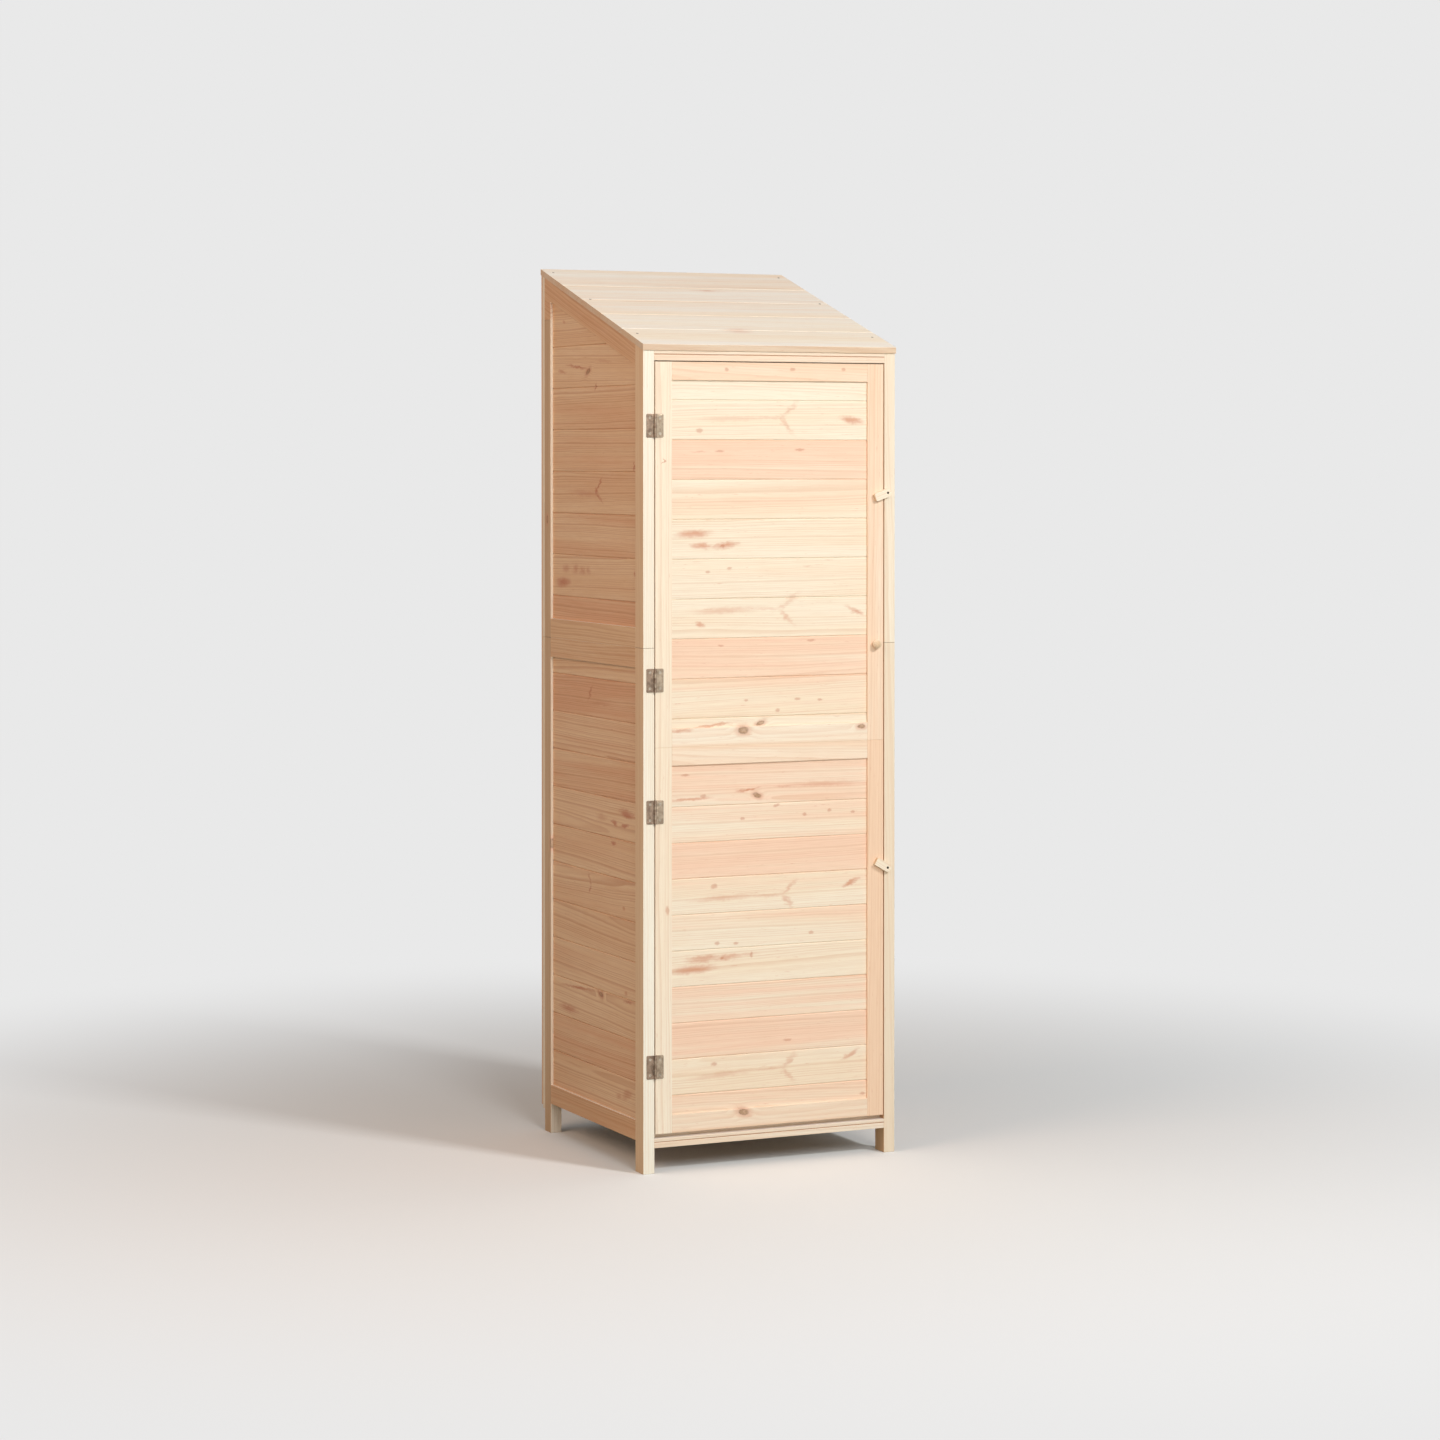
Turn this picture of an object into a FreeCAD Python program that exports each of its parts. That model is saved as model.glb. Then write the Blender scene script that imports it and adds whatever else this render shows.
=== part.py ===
import FreeCAD, Part
import math
import os

# Garden storage cabinet of planed fir: two tiers of framed and boarded side panels, a boarded
# back, a single-pitch boarded roof, a floor, two shelves and one door of two joined half frames.
# Millimetres. X runs left to right, Y from the door to the back, Z up from the ground.
# The origin is the middle of the cabinet's overall plan, on the ground.

V = FreeCAD.Vector

# Carcass
body_width = 545.0
body_depth = 517.0
tier_seam = 1012.3
side_thickness = 23.5
front_stile_width = 38.0
back_stile_width = 32.0
side_rail_width = 39.0
foot_height = 60.0
side_reveal = 6.0
rail_heel = 36.0

# Roof: heights of its top face at the front and back edges, and its upright cut front edge
roof_top_front = 1597.0
roof_top_back = 1765.0
roof_edge = 12.5
roof_side_overhang = 1.5
roof_front_overhang = 2.5
roof_back_overhang = 0.5
roof_board_pitch = 105.0
roof_back_board = 125.0
roof_batten_width = 20.0
roof_batten_depth = 15.0

# Tongued and grooved boards
board_thickness = 10.0
rebate_width = 10.0
tongue_length = 5.0
tongue_share = 0.34
tongue_play = 0.15
joint_chamfer = 1.4
least_board = 15.0
lower_side_joint = 941.0
lower_side_pitch = 77.0
upper_side_joint = 1351.0
upper_side_pitch = 84.0

# Back: uprights and rails inside, thin upright boards outside
back_frame_thickness = 10.5
back_board_thickness = 6.5
back_frame_width = 45.0
back_foot = 45.0
back_board_lift = 7.0
back_board_pitch = 84.0

# Front rails, the stop behind the door's head, and the floor
sill_foot = 49.0
sill_height = 18.0
sill_groove = 7.0
header_height = 20.0
header_groove = 8.0
header_depth = 18.0
groove_depth = 1.2
stop_lap = 20.0
stop_depth = 18.0
bearer_height = 17.0
front_bearer_depth = 15.0
floor_board_pitch = 90.0

# Shelves on cleats: the upper pair of cleats ties the two tiers together
lower_shelf_height = 520.0
cleat_width = 20.0
lower_cleat_height = 30.0
tie_cleat_height = 40.0
shelf_setback = 20.0
shelf_board_pitch = 95.0

# Door
door_gap = 2.0
door_foot = 75.3
door_seam = 820.0
door_thickness = 18.0
door_stile_width = 35.0
door_rail_width = 35.5
door_reveal = 4.0
door_upper_joint = 1490.0
door_upper_pitch = 77.0
door_lower_joint = 703.8
door_lower_pitch = 69.6
stop_clearance = 0.3

# Plates that join the two halves of the door
plate_length = 80.0
plate_width = 16.0
plate_thickness = 2.0
plate_corner = 4.0
plate_screw_inset = 12.0

# Hinges
hinge_height = 45.5
hinge_leaf_reach = 17.8
leaf_thickness = 1.2
pin_radius = 1.3
pin_play = 0.05
pin_seat = 0.02
knuckle_count = 5
knuckle_play = 0.2
leaf_cutback = 0.3
leaf_corner = 2.5
hinge_low_offset = 130.0
hinge_high_offset = 123.5
hinge_screw_inset = 7.5
hinge_screw_reach = 10.5

# Screws and nails
screw_radius = 1.5
screw_head_radius = 2.8
screw_head_height = 1.2
screw_length = 12.0
cleat_screw_length = 32.0
cleat_screw_inset = 6.0
tie_screw_rise = 12.0
nail_radius = 1.1
nail_head_radius = 2.6
nail_head_height = 0.6
nail_length = 20.0
nail_side_inset = 18.0
nail_back_inset = 25.0
nail_middle_inset = 218.0
nail_front_inset = 452.0
drill_play = 0.04
fastener_sides = 8

# Knob and turn buttons
knob_radius = 8.75
knob_neck_radius = 6.4
knob_height = 15.0
knob_neck_height = 3.0
knob_rim_low = 6.5
knob_rim_high = 10.5
knob_crown_radius = 5.0
knob_tenon_radius = 4.0
knob_tenon_length = 9.0
knob_level = 1010.5
button_reach = 29.0
button_width = 16.0
button_thickness = 8.0
button_corner = 3.0
button_play = 0.3
button_pivot_inset = 4.0
upper_button_level = 1309.0
lower_button_level = 566.5
upper_button_turn = 20.0
lower_button_turn = -30.0
button_screw_radius = 1.75
button_screw_head_radius = 2.4
button_screw_head_height = 1.5
button_screw_length = 24.0

# Small clearance of each piece that is slid or let into another
fit = 0.2

# Places worked out from the sizes above
half_width = body_width / 2
inner_half_width = half_width - side_thickness
back_thickness = back_frame_thickness + back_board_thickness
proud = max(knob_height, button_play + button_thickness, 2 * (pin_radius + leaf_thickness))
front = (proud - body_depth - roof_back_overhang) / 2
frame_back = front + body_depth - back_thickness
body_back = front + body_depth
roof_front = front - roof_front_overhang
roof_back = body_back + roof_back_overhang
roof_slope = (roof_top_back - roof_top_front) / (roof_back - roof_front)
roof_angle = math.atan(roof_slope)
roof_thickness = roof_edge * math.cos(roof_angle)
stile_back = front + front_stile_width
back_stile_front = frame_back - back_stile_width
door_back = front + door_thickness
stop_front = door_back + stop_clearance
stop_back = stop_front + stop_depth
front_bearer_back = stop_front + front_bearer_depth
floor_under = foot_height + bearer_height
shelf_front = front + shelf_setback


def roof_under(y):
    """Height of the roof's underside at y."""
    return roof_top_front + roof_slope * (y - roof_front) - roof_edge


header_foot = roof_under(front) - header_height
door_head = header_foot - door_gap
door_half_width = inner_half_width - door_gap
hinge_x = -inner_half_width - door_gap / 2 + door_gap
barrel_radius = pin_radius + pin_play + leaf_thickness
hinge_y = front - barrel_radius
hinge_levels = [
    door_foot + hinge_low_offset,
    door_seam - hinge_high_offset,
    door_seam + hinge_low_offset,
    door_head - hinge_high_offset,
]
button_x = inner_half_width + button_pivot_inset
knob_x = door_half_width - door_stile_width / 2
upper_shelf_height = tier_seam + tie_cleat_height / 2

parts = {}


# Forms

def slab(points, near, far):
    """Solid with the given (x, z) outline, from y = near to y = far."""
    corners = [V(x, near, z) for x, z in points]
    face = Part.Face(Part.makePolygon(corners + corners[:1]))
    return face.extrude(V(0, far - near, 0))


def moulding(points, left, right):
    """Solid with the given (y, z) section, from x = left to x = right."""
    corners = [V(left, y, z) for y, z in points]
    face = Part.Face(Part.makePolygon(corners + corners[:1]))
    return face.extrude(V(right - left, 0, 0))


def block(x0, x1, y0, y1, z0, z1):
    """Straight planed piece between two corners."""
    return Part.makeBox(x1 - x0, y1 - y0, z1 - z0, V(x0, y0, z0))


def turned(points, place, axis):
    """Solid of revolution from (radius, distance) points, standing at place along axis."""
    corners = [V(radius, 0, distance) for radius, distance in points]
    face = Part.Face(Part.makePolygon(corners + corners[:1]))
    solid = face.revolve(V(0, 0, 0), V(0, 0, 1), 360)
    turn = FreeCAD.Rotation(V(0, 0, 1), axis)
    solid.Placement = FreeCAD.Placement(place, turn)
    return solid


def countersunk(place, axis, length, radius, head_radius, head_height, play=0.0):
    """Screw or nail with its head flush at place, its point along axis, grown by play."""
    rings = []
    for reach, distance in ((head_radius, 0), (radius, head_height), (radius, length + play)):
        corners = []
        for number in range(fastener_sides + 1):
            angle = 2 * math.pi * (number % fastener_sides) / fastener_sides
            corners.append(V((reach + play) * math.cos(angle), (reach + play) * math.sin(angle),
                             distance))
        rings.append(Part.makePolygon(corners))
    solid = Part.makeLoft(rings, True, True)
    solid.Placement = FreeCAD.Placement(place, FreeCAD.Rotation(V(0, 0, 1), axis))
    return solid


def board_section(low, high, thickness, groove, tongue, chamfer):
    """Outline (depth, height) of one board, its outer face at depth 0."""
    half = thickness * tongue_share / 2
    middle = thickness / 2
    points = []
    if groove:
        points += [(0, low + chamfer), (chamfer, low)] if chamfer else [(0, low)]
        points += [(middle - half - tongue_play, low)]
        points += [(middle - half - tongue_play, low + tongue_length + tongue_play)]
        points += [(middle + half + tongue_play, low + tongue_length + tongue_play)]
        points += [(middle + half + tongue_play, low), (thickness, low)]
    else:
        points += [(0, low), (thickness, low)]
    if tongue:
        points += [(thickness, high), (middle + half, high)]
        points += [(middle + half, high + tongue_length)]
        points += [(middle - half, high + tongue_length)]
        points += [(middle - half, high)]
        points += [(chamfer, high), (0, high - chamfer)] if chamfer else [(0, high)]
    else:
        points += [(thickness, high), (0, high)]
    return points


def board_stack(low, high, joints, left, right, thickness, chamfer=joint_chamfer):
    """Boards lying left to right, one above the other, outer faces at y = 0."""
    edges = [low] + joints + [high]
    boards = []
    for number in range(len(edges) - 1):
        groove = number > 0
        tongue = number < len(edges) - 2
        section = board_section(edges[number], edges[number + 1], thickness, groove, tongue, chamfer)
        boards.append(moulding(section, left, right))
    return boards


def joints_between(low, high, known, pitch):
    """Levels of the joints between two edges, in step with a known joint, with no sliver board."""
    level = known + math.ceil((low + least_board - known) / pitch) * pitch
    levels = []
    while level < high - least_board:
        levels.append(level)
        level += pitch
    return levels


def opening(left, right, foot, head, slope, grow):
    """Outline of a panel opening whose head rises with slope, grown by an even margin."""
    lift = grow / math.cos(math.atan(slope))
    return [
        (left - grow, foot - grow),
        (right + grow, foot - grow),
        (right + grow, head + slope * (right + grow - left) + lift),
        (left - grow, head - slope * grow + lift),
    ]


def framed_panel(prefix, members, outline, reveal, thickness, known, pitch, place):
    """Rebate the members behind the opening, fill it with boards, and put all in place."""
    left, right, foot, head, slope = outline
    rebate = slab(opening(*outline, rebate_width), reveal, thickness + 1)
    for name, member in members.items():
        parts[prefix + name] = [place(member.cut(rebate))]
    inset = rebate_width - fit
    edge = opening(*outline, inset)
    top = max(edge[2][1], edge[3][1])
    joints = joints_between(foot, top - inset, known, pitch)
    boards = board_stack(foot - inset, top, joints, left - inset, right + inset, board_thickness)
    if slope:
        trim = slab(edge, -1, board_thickness + 1)
        boards = [board.common(trim).Solids[0] for board in boards]
    for board in boards:
        board.translate(V(0, reveal, 0))
    parts[prefix + "boards"] = [place(board) for board in boards]


def laid(shape, angle, y, z):
    """Turn a stack of boards to lie with its outer face up, rising to the back by angle."""
    shape.rotate(V(0, 0, 0), V(1, 0, 0), math.degrees(angle) - 90)
    shape.translate(V(0, y, z))
    return shape


def to_right(shape):
    """Turn a panel that faces the front so that it faces right, on the right side."""
    turned_shape = shape.copy()
    turned_shape.rotate(V(0, 0, 0), V(0, 0, 1), 90)
    turned_shape.translate(V(half_width, 0, 0))
    return turned_shape


def mirrored(shape):
    """The same piece on the other side of the cabinet."""
    return shape.mirror(V(0, 0, 0), V(1, 0, 0))


def to_left(shape):
    """The left-hand twin of a panel on the right side."""
    return mirrored(to_right(shape))


def drill(names, tools):
    """Cut the seats of fasteners from every solid of the named pieces."""
    for name in names:
        drilled = []
        for solid in parts[name]:
            near = [tool for tool in tools if tool.BoundBox.intersect(solid.BoundBox)]
            drilled.append(solid.cut(near) if near else solid)
        parts[name] = drilled


# Side panels, two tiers on each side

def side_panels(side, place):
    """Lower and upper framed panels of one side."""
    slope = roof_slope
    drop = side_rail_width / math.cos(roof_angle)
    rail_edge_front = roof_under(stile_back) - drop
    rail_edge_back = roof_under(back_stile_front) - drop
    heel = rail_edge_back - rail_heel

    low_rail_head = foot_height + side_rail_width
    members = {
        "front_stile": block(front, stile_back, 0, side_thickness, 0, tier_seam),
        "back_stile": block(back_stile_front, frame_back, 0, side_thickness, 0, tier_seam),
        "bottom_rail": block(stile_back, back_stile_front, 0, side_thickness,
                             foot_height, low_rail_head),
        "top_rail": block(stile_back, back_stile_front, 0, side_thickness,
                          tier_seam - side_rail_width, tier_seam),
    }
    outline = (stile_back, back_stile_front, low_rail_head, tier_seam - side_rail_width, 0.0)
    framed_panel(side + "_lower_", members, outline, side_reveal, side_thickness,
                 lower_side_joint, lower_side_pitch, place)

    front_stile = slab([
        (front, tier_seam),
        (stile_back, tier_seam),
        (stile_back, roof_under(stile_back)),
        (front, roof_under(front)),
    ], 0, side_thickness)
    top_rail = slab([
        (stile_back, rail_edge_front),
        (back_stile_front, rail_edge_back),
        (back_stile_front, heel),
        (frame_back, heel),
        (frame_back, roof_under(frame_back)),
        (stile_back, roof_under(stile_back)),
    ], 0, side_thickness)
    upper_foot = tier_seam + side_rail_width
    members = {
        "front_stile": front_stile,
        "back_stile": block(back_stile_front, frame_back, 0, side_thickness, tier_seam, heel),
        "bottom_rail": block(stile_back, back_stile_front, 0, side_thickness,
                             tier_seam, upper_foot),
        "top_rail": top_rail,
    }
    outline = (stile_back, back_stile_front, upper_foot, rail_edge_front, slope)
    framed_panel(side + "_upper_", members, outline, side_reveal, side_thickness,
                 upper_side_joint, upper_side_pitch, place)


# Front rails and the stop behind the door's head

def grooved_rail(foot, back, head, head_back, groove_level):
    """Rail across the front, as far as back, with one V groove along its face."""
    return moulding([
        (front, foot),
        (back, foot),
        (back, head_back),
        (front, head),
        (front, groove_level + groove_depth),
        (front + groove_depth, groove_level),
        (front, groove_level - groove_depth),
    ], -inner_half_width, inner_half_width)


def front_rails():
    """Sill, header and door stop, all between the posts."""
    sill_head = sill_foot + sill_height
    parts["sill_rail"] = [grooved_rail(sill_foot, stop_front, sill_head, sill_head,
                                       sill_head - sill_groove)]
    header_head = roof_under(front)
    header_back = front + header_depth
    parts["header_rail"] = [grooved_rail(header_foot, header_back, header_head,
                                         roof_under(header_back),
                                         header_head - header_groove)]
    stop_foot = door_head - stop_lap
    parts["door_stop_rail"] = [moulding([
        (stop_front, stop_foot),
        (stop_back, stop_foot),
        (stop_back, roof_under(stop_back)),
        (stop_front, roof_under(stop_front)),
    ], -inner_half_width, inner_half_width)]


# Back, in two tiers

def back_tier(prefix, foot, board_foot, head_at):
    """Uprights, rails and upright boards between a foot and a head line given by head_at."""
    inner = frame_back
    outer = frame_back + back_frame_thickness
    upright = moulding([
        (inner, foot), (outer, foot), (outer, head_at(outer)), (inner, head_at(inner)),
    ], -half_width, -half_width + back_frame_width)
    parts[prefix + "uprights"] = [upright, mirrored(upright)]
    reach = half_width - back_frame_width
    low_rail = block(-reach, reach, inner, outer, foot, foot + back_frame_width)
    rail_foot = head_at(inner) - back_frame_width
    high_rail = moulding([
        (inner, rail_foot), (outer, rail_foot), (outer, head_at(outer)), (inner, head_at(inner)),
    ], -reach, reach)
    parts[prefix + "rails"] = [low_rail, high_rail]

    head = head_at(body_back) + back_board_thickness
    joints = joints_between(-half_width, half_width, 0.0, back_board_pitch)
    boards = board_stack(-half_width, half_width, joints, board_foot, head, back_board_thickness,
                         joint_chamfer / 2)
    cap = moulding([
        (outer - 1, head_at(outer - 1)),
        (body_back + 1, head_at(body_back + 1)),
        (body_back + 1, head + 1),
        (outer - 1, head + 1),
    ], -half_width - 1, half_width + 1)
    upright_boards = []
    for board in boards:
        board.rotate(V(0, 0, 0), V(0, 1, 0), -90)
        board.rotate(V(0, 0, 0), V(0, 0, 1), 180)
        board.translate(V(0, body_back, 0))
        upright_boards.append(board.cut(cap))
    parts[prefix + "boards"] = upright_boards


# Floor, shelves and roof

def shelf(name, supports, level, height, support_front, board_front, pitch):
    """Boards laid on a pair of cleats or bearers along the sides."""
    cleat = block(-inner_half_width, -inner_half_width + cleat_width,
                  support_front, frame_back - fit, level - height, level)
    parts[supports] = [cleat, mirrored(cleat)]
    depth = frame_back - fit - board_front
    reach = inner_half_width - fit
    joints = joints_between(0, depth, pitch, pitch)
    boards = board_stack(0, depth, joints, -reach, reach, board_thickness, 0)
    parts[name] = [laid(board, 0, board_front, level + board_thickness) for board in boards]


def front_bearer():
    """Bearer behind the sill, under the front edge of the floor."""
    parts["front_bearer"] = [block(-inner_half_width, inner_half_width, stop_front,
                                   front_bearer_back, sill_foot, floor_under)]


def roof():
    """Boards across the pitch, two battens under them, and the nails in the side rails."""
    length = (roof_back - roof_front) / math.cos(roof_angle)
    lead = roof_thickness * math.tan(roof_angle)
    back_joint = length - roof_back_board
    joints = joints_between(0, back_joint + 2 * least_board, back_joint, roof_board_pitch)
    reach = half_width + roof_side_overhang
    lowest = min(roof_top_front, roof_top_back) - roof_edge
    highest = max(roof_top_front, roof_top_back) + 1
    trim = block(-reach, reach, roof_front, roof_back, lowest, highest)
    boards = board_stack(-lead, length, joints, -reach, reach, roof_thickness)
    laid_boards = [laid(board, roof_angle, roof_front, roof_top_front) for board in boards]
    parts["roof_boards"] = [board.common(trim).Solids[0] for board in laid_boards]

    start = (stop_back + fit - roof_front) / math.cos(roof_angle)
    foot = roof_thickness + roof_batten_depth
    end = (frame_back - fit - roof_front - foot * math.sin(roof_angle)) / math.cos(roof_angle)
    batten = block(-inner_half_width + fit, -inner_half_width + fit + roof_batten_width,
                   roof_thickness, foot, start, end)
    batten = laid(batten, roof_angle, roof_front, roof_top_front)
    parts["roof_battens"] = [batten, mirrored(batten)]


# Door

def door_half(prefix, foot, head, known, pitch):
    """Framed panel of one half of the door."""
    left = -door_half_width
    right = door_half_width
    inner_left = left + door_stile_width
    inner_right = right - door_stile_width
    members = {
        "left_stile": block(left, inner_left, 0, door_thickness, foot, head),
        "right_stile": block(inner_right, right, 0, door_thickness, foot, head),
        "bottom_rail": block(inner_left, inner_right, 0, door_thickness,
                             foot, foot + door_rail_width),
        "top_rail": block(inner_left, inner_right, 0, door_thickness,
                          head - door_rail_width, head),
    }
    outline = (inner_left, inner_right, foot + door_rail_width, head - door_rail_width, 0.0)

    def place(shape):
        moved = shape.copy()
        moved.translate(V(0, front, 0))
        return moved

    framed_panel(prefix, members, outline, door_reveal, door_thickness, known, pitch, place)


def door_plates():
    """Steel plates over the seam, on the inner faces of the door's stiles."""
    x = door_half_width - (door_stile_width - rebate_width) / 2
    plate = block(x - plate_width / 2, x + plate_width / 2, door_back,
                  door_back + plate_thickness,
                  door_seam - plate_length / 2, door_seam + plate_length / 2)
    rounded = plate.makeFillet(plate_corner, [
        edge for edge in plate.Edges
        if abs(edge.Vertexes[0].Y - edge.Vertexes[-1].Y) > plate_thickness / 2
    ])
    parts["door_joining_plates"] = [rounded, mirrored(rounded)]
    rise = plate_length / 2 - plate_screw_inset
    return [
        (V(side * x, door_back + plate_thickness, door_seam + step), V(0, -1, 0))
        for side in (-1, 1) for step in (-rise, rise)
    ]


def knob():
    """Turned wooden knob with a tenon glued into the door's right stile."""
    parts["door_knob"] = [turned([
        (0, -knob_tenon_length),
        (knob_tenon_radius, -knob_tenon_length),
        (knob_tenon_radius, 0),
        (knob_neck_radius, 0),
        (knob_neck_radius, knob_neck_height),
        (knob_radius, knob_rim_low),
        (knob_radius, knob_rim_high),
        (knob_crown_radius, knob_height),
        (0, knob_height),
    ], V(knob_x, front, knob_level), V(0, -1, 0))]
    seat = Part.makeCylinder(knob_tenon_radius + drill_play, knob_tenon_length + fit,
                             V(knob_x, front, knob_level), V(0, 1, 0))
    drill(["door_upper_right_stile"], [seat])


def turn_button(name, level, turn):
    """Wooden turn button on its screw, round at the pivot, over the door's edge at rest."""
    half = button_width / 2
    blank = block(-button_reach, 0, 0, button_thickness, -half, half)
    corners = [
        edge for edge in blank.Edges
        if abs(edge.Vertexes[0].Y - edge.Vertexes[-1].Y) > button_thickness / 2
        and edge.Vertexes[0].X < -button_reach / 2
    ]
    blank = blank.makeFillet(button_corner, corners)
    pivot_end = Part.makeCylinder(half, button_thickness, V(0, 0, 0), V(0, 1, 0))
    bore = Part.makeCylinder(button_screw_radius + pin_play, button_thickness, V(0, 0, 0),
                             V(0, 1, 0))
    sink = Part.makeCone(button_screw_head_radius + pin_play, button_screw_radius + pin_play,
                         button_screw_head_height, V(0, 0, 0), V(0, 1, 0))
    solid = blank.fuse(pivot_end).removeSplitter().cut([bore, sink])
    solid.rotate(V(0, 0, 0), V(0, 1, 0), -turn)
    solid.translate(V(button_x, front - button_play - button_thickness, level))
    parts[name] = [solid]
    return V(button_x, front - button_play - button_thickness, level)


# Hinges

def hinge_leaf(own, other_play):
    """Leaf on the left of its axis, with the numbered knuckles of its own."""
    reach = hinge_leaf_reach
    edge = barrel_radius + leaf_cutback
    half = hinge_height / 2
    plate = block(-reach, -edge, barrel_radius - leaf_thickness, barrel_radius, -half, half)
    outer_corners = [
        corner for corner in plate.Edges
        if abs(corner.Vertexes[0].Y - corner.Vertexes[-1].Y) > leaf_thickness / 2
        and corner.Vertexes[0].X < -reach / 2 - edge / 2
    ]
    plate = plate.makeFillet(leaf_corner, outer_corners)
    step = (hinge_height + knuckle_play) / knuckle_count
    for number in own:
        low = -half + number * step
        height = step - knuckle_play
        barrel = Part.makeCylinder(barrel_radius, height, V(0, 0, low))
        tab = block(-edge, 0, barrel_radius - leaf_thickness, barrel_radius, low, low + height)
        plate = plate.fuse([barrel, tab])
    bore = Part.makeCylinder(pin_radius + other_play, hinge_height + 2, V(0, 0, -half - 1))
    return plate.removeSplitter().cut(bore)


def hinges():
    """Four butt hinges with interleaved knuckles; returns where their screws go."""
    frame_leaf = hinge_leaf(range(0, knuckle_count, 2), pin_seat)
    door_leaf = hinge_leaf(range(1, knuckle_count, 2), pin_play)
    door_leaf = mirrored(door_leaf)
    half = hinge_height / 2
    pin = Part.makeCylinder(pin_radius, hinge_height, V(0, 0, -half))
    face = barrel_radius - leaf_thickness
    rise = half - hinge_screw_inset
    frame_leaves = []
    door_leaves = []
    pins = []
    frame_seats = []
    door_seats = []
    for level in hinge_levels:
        for source, target in ((frame_leaf, frame_leaves), (door_leaf, door_leaves), (pin, pins)):
            copy = source.copy()
            copy.translate(V(hinge_x, hinge_y, level))
            target.append(copy)
        for step in (-rise, rise):
            place = V(hinge_x - hinge_screw_reach, hinge_y + face, level + step)
            frame_seats.append((place, V(0, 1, 0)))
            place = V(hinge_x + hinge_screw_reach, hinge_y + face, level + step)
            door_seats.append((place, V(0, 1, 0)))
    parts["hinge_frame_leaves"] = frame_leaves
    parts["hinge_door_leaves"] = door_leaves
    parts["hinge_pins"] = pins
    return frame_seats, door_seats


# Fasteners

def fasten(name, seats, into, length, radius, head_radius, head_height):
    """Put one screw or nail at each seat and cut its hole from the named pieces."""
    sizes = (length, radius, head_radius, head_height)
    parts[name] = [countersunk(place, axis, *sizes) for place, axis in seats]
    drill(into, [countersunk(place, axis, *sizes, play=drill_play) for place, axis in seats])


def cleat_seats(level_pairs):
    """Where the cleats' screws go: near both ends, on each side, at each level."""
    seats = []
    for level, start in level_pairs:
        ends = (start + cleat_screw_inset, frame_back - fit - cleat_screw_inset)
        for y in ends:
            for side in (-1, 1):
                place = V(side * (inner_half_width - cleat_width), y, level)
                seats.append((place, V(side, 0, 0)))
    return seats


def nail_seats():
    """Three nails down each side of the roof, square to its face."""
    seats = []
    down = V(0, math.sin(roof_angle), -math.cos(roof_angle))
    for inset in (nail_back_inset, nail_middle_inset, nail_front_inset):
        y = roof_back - inset
        z = roof_top_front + roof_slope * (y - roof_front)
        for side in (-1, 1):
            x = side * (half_width + roof_side_overhang - nail_side_inset)
            seats.append((V(x, y, z), down))
    return seats


side_panels("left", to_left)
side_panels("right", to_right)
front_rails()
back_tier("back_lower_", back_foot, back_foot + back_board_lift, lambda y: tier_seam)
back_tier("back_upper_", tier_seam, tier_seam, roof_under)
front_bearer()
shelf("floor_boards", "floor_bearers", floor_under, bearer_height,
      front_bearer_back, stop_front, floor_board_pitch)
shelf("lower_shelf_boards", "lower_shelf_cleats", lower_shelf_height, lower_cleat_height,
      shelf_front, shelf_front, shelf_board_pitch)
shelf("upper_shelf_boards", "upper_shelf_cleats", upper_shelf_height, tie_cleat_height,
      shelf_front, shelf_front, shelf_board_pitch)
roof()
door_half("door_lower_", door_foot, door_seam, door_lower_joint, door_lower_pitch)
door_half("door_upper_", door_seam, door_head, door_upper_joint, door_upper_pitch)
plate_seats = door_plates()
knob()
frame_seats, door_seats = hinges()
button_seats = [
    (turn_button("upper_turn_button", upper_button_level, upper_button_turn), V(0, 1, 0)),
    (turn_button("lower_turn_button", lower_button_level, lower_button_turn), V(0, 1, 0)),
]

stiles = [
    side + tier + "front_stile"
    for side in ("left", "right") for tier in ("_lower_", "_upper_")
]
side_frames = [
    side + tier + member
    for side in ("left", "right") for tier in ("_lower_", "_upper_")
    for member in ("front_stile", "back_stile", "bottom_rail", "top_rail")
]
door_stiles = [
    "door_" + tier + side + "_stile"
    for tier in ("lower_", "upper_") for side in ("left", "right")
]
fasten("hinge_frame_screws", frame_seats, ["hinge_frame_leaves"] + stiles,
       screw_length, screw_radius, screw_head_radius, screw_head_height)
fasten("door_screws", door_seats + plate_seats,
       ["hinge_door_leaves", "door_joining_plates"] + door_stiles,
       screw_length, screw_radius, screw_head_radius, screw_head_height)
fasten("cleat_screws", cleat_seats([
    (foot_height + bearer_height / 2, front_bearer_back),
    (lower_shelf_height - lower_cleat_height / 2, shelf_front),
    (tier_seam - tie_screw_rise, shelf_front),
    (tier_seam + tie_screw_rise, shelf_front),
]), ["floor_bearers", "lower_shelf_cleats", "upper_shelf_cleats"] + side_frames,
       cleat_screw_length, screw_radius, screw_head_radius, screw_head_height)
fasten("roof_nails", nail_seats(), ["roof_boards", "back_upper_uprights"] + side_frames,
       nail_length, nail_radius, nail_head_radius, nail_head_height)
fasten("turn_button_screws", button_seats, stiles,
       button_screw_length, button_screw_radius, button_screw_head_radius,
       button_screw_head_height)


os.makedirs("parts", exist_ok=True)
for name, solids in parts.items():
    for solid in solids:
        if not solid.isValid() or solid.Volume <= 0 or len(solid.Solids) != 1:
            raise ValueError("not one sound solid: " + name)
    shape = solids[0] if len(solids) == 1 else Part.makeCompound(solids)
    shape.exportStep("parts/" + name + ".step")
print(len(parts), "pieces or groups,", sum(len(solids) for solids in parts.values()), "solids")
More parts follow.
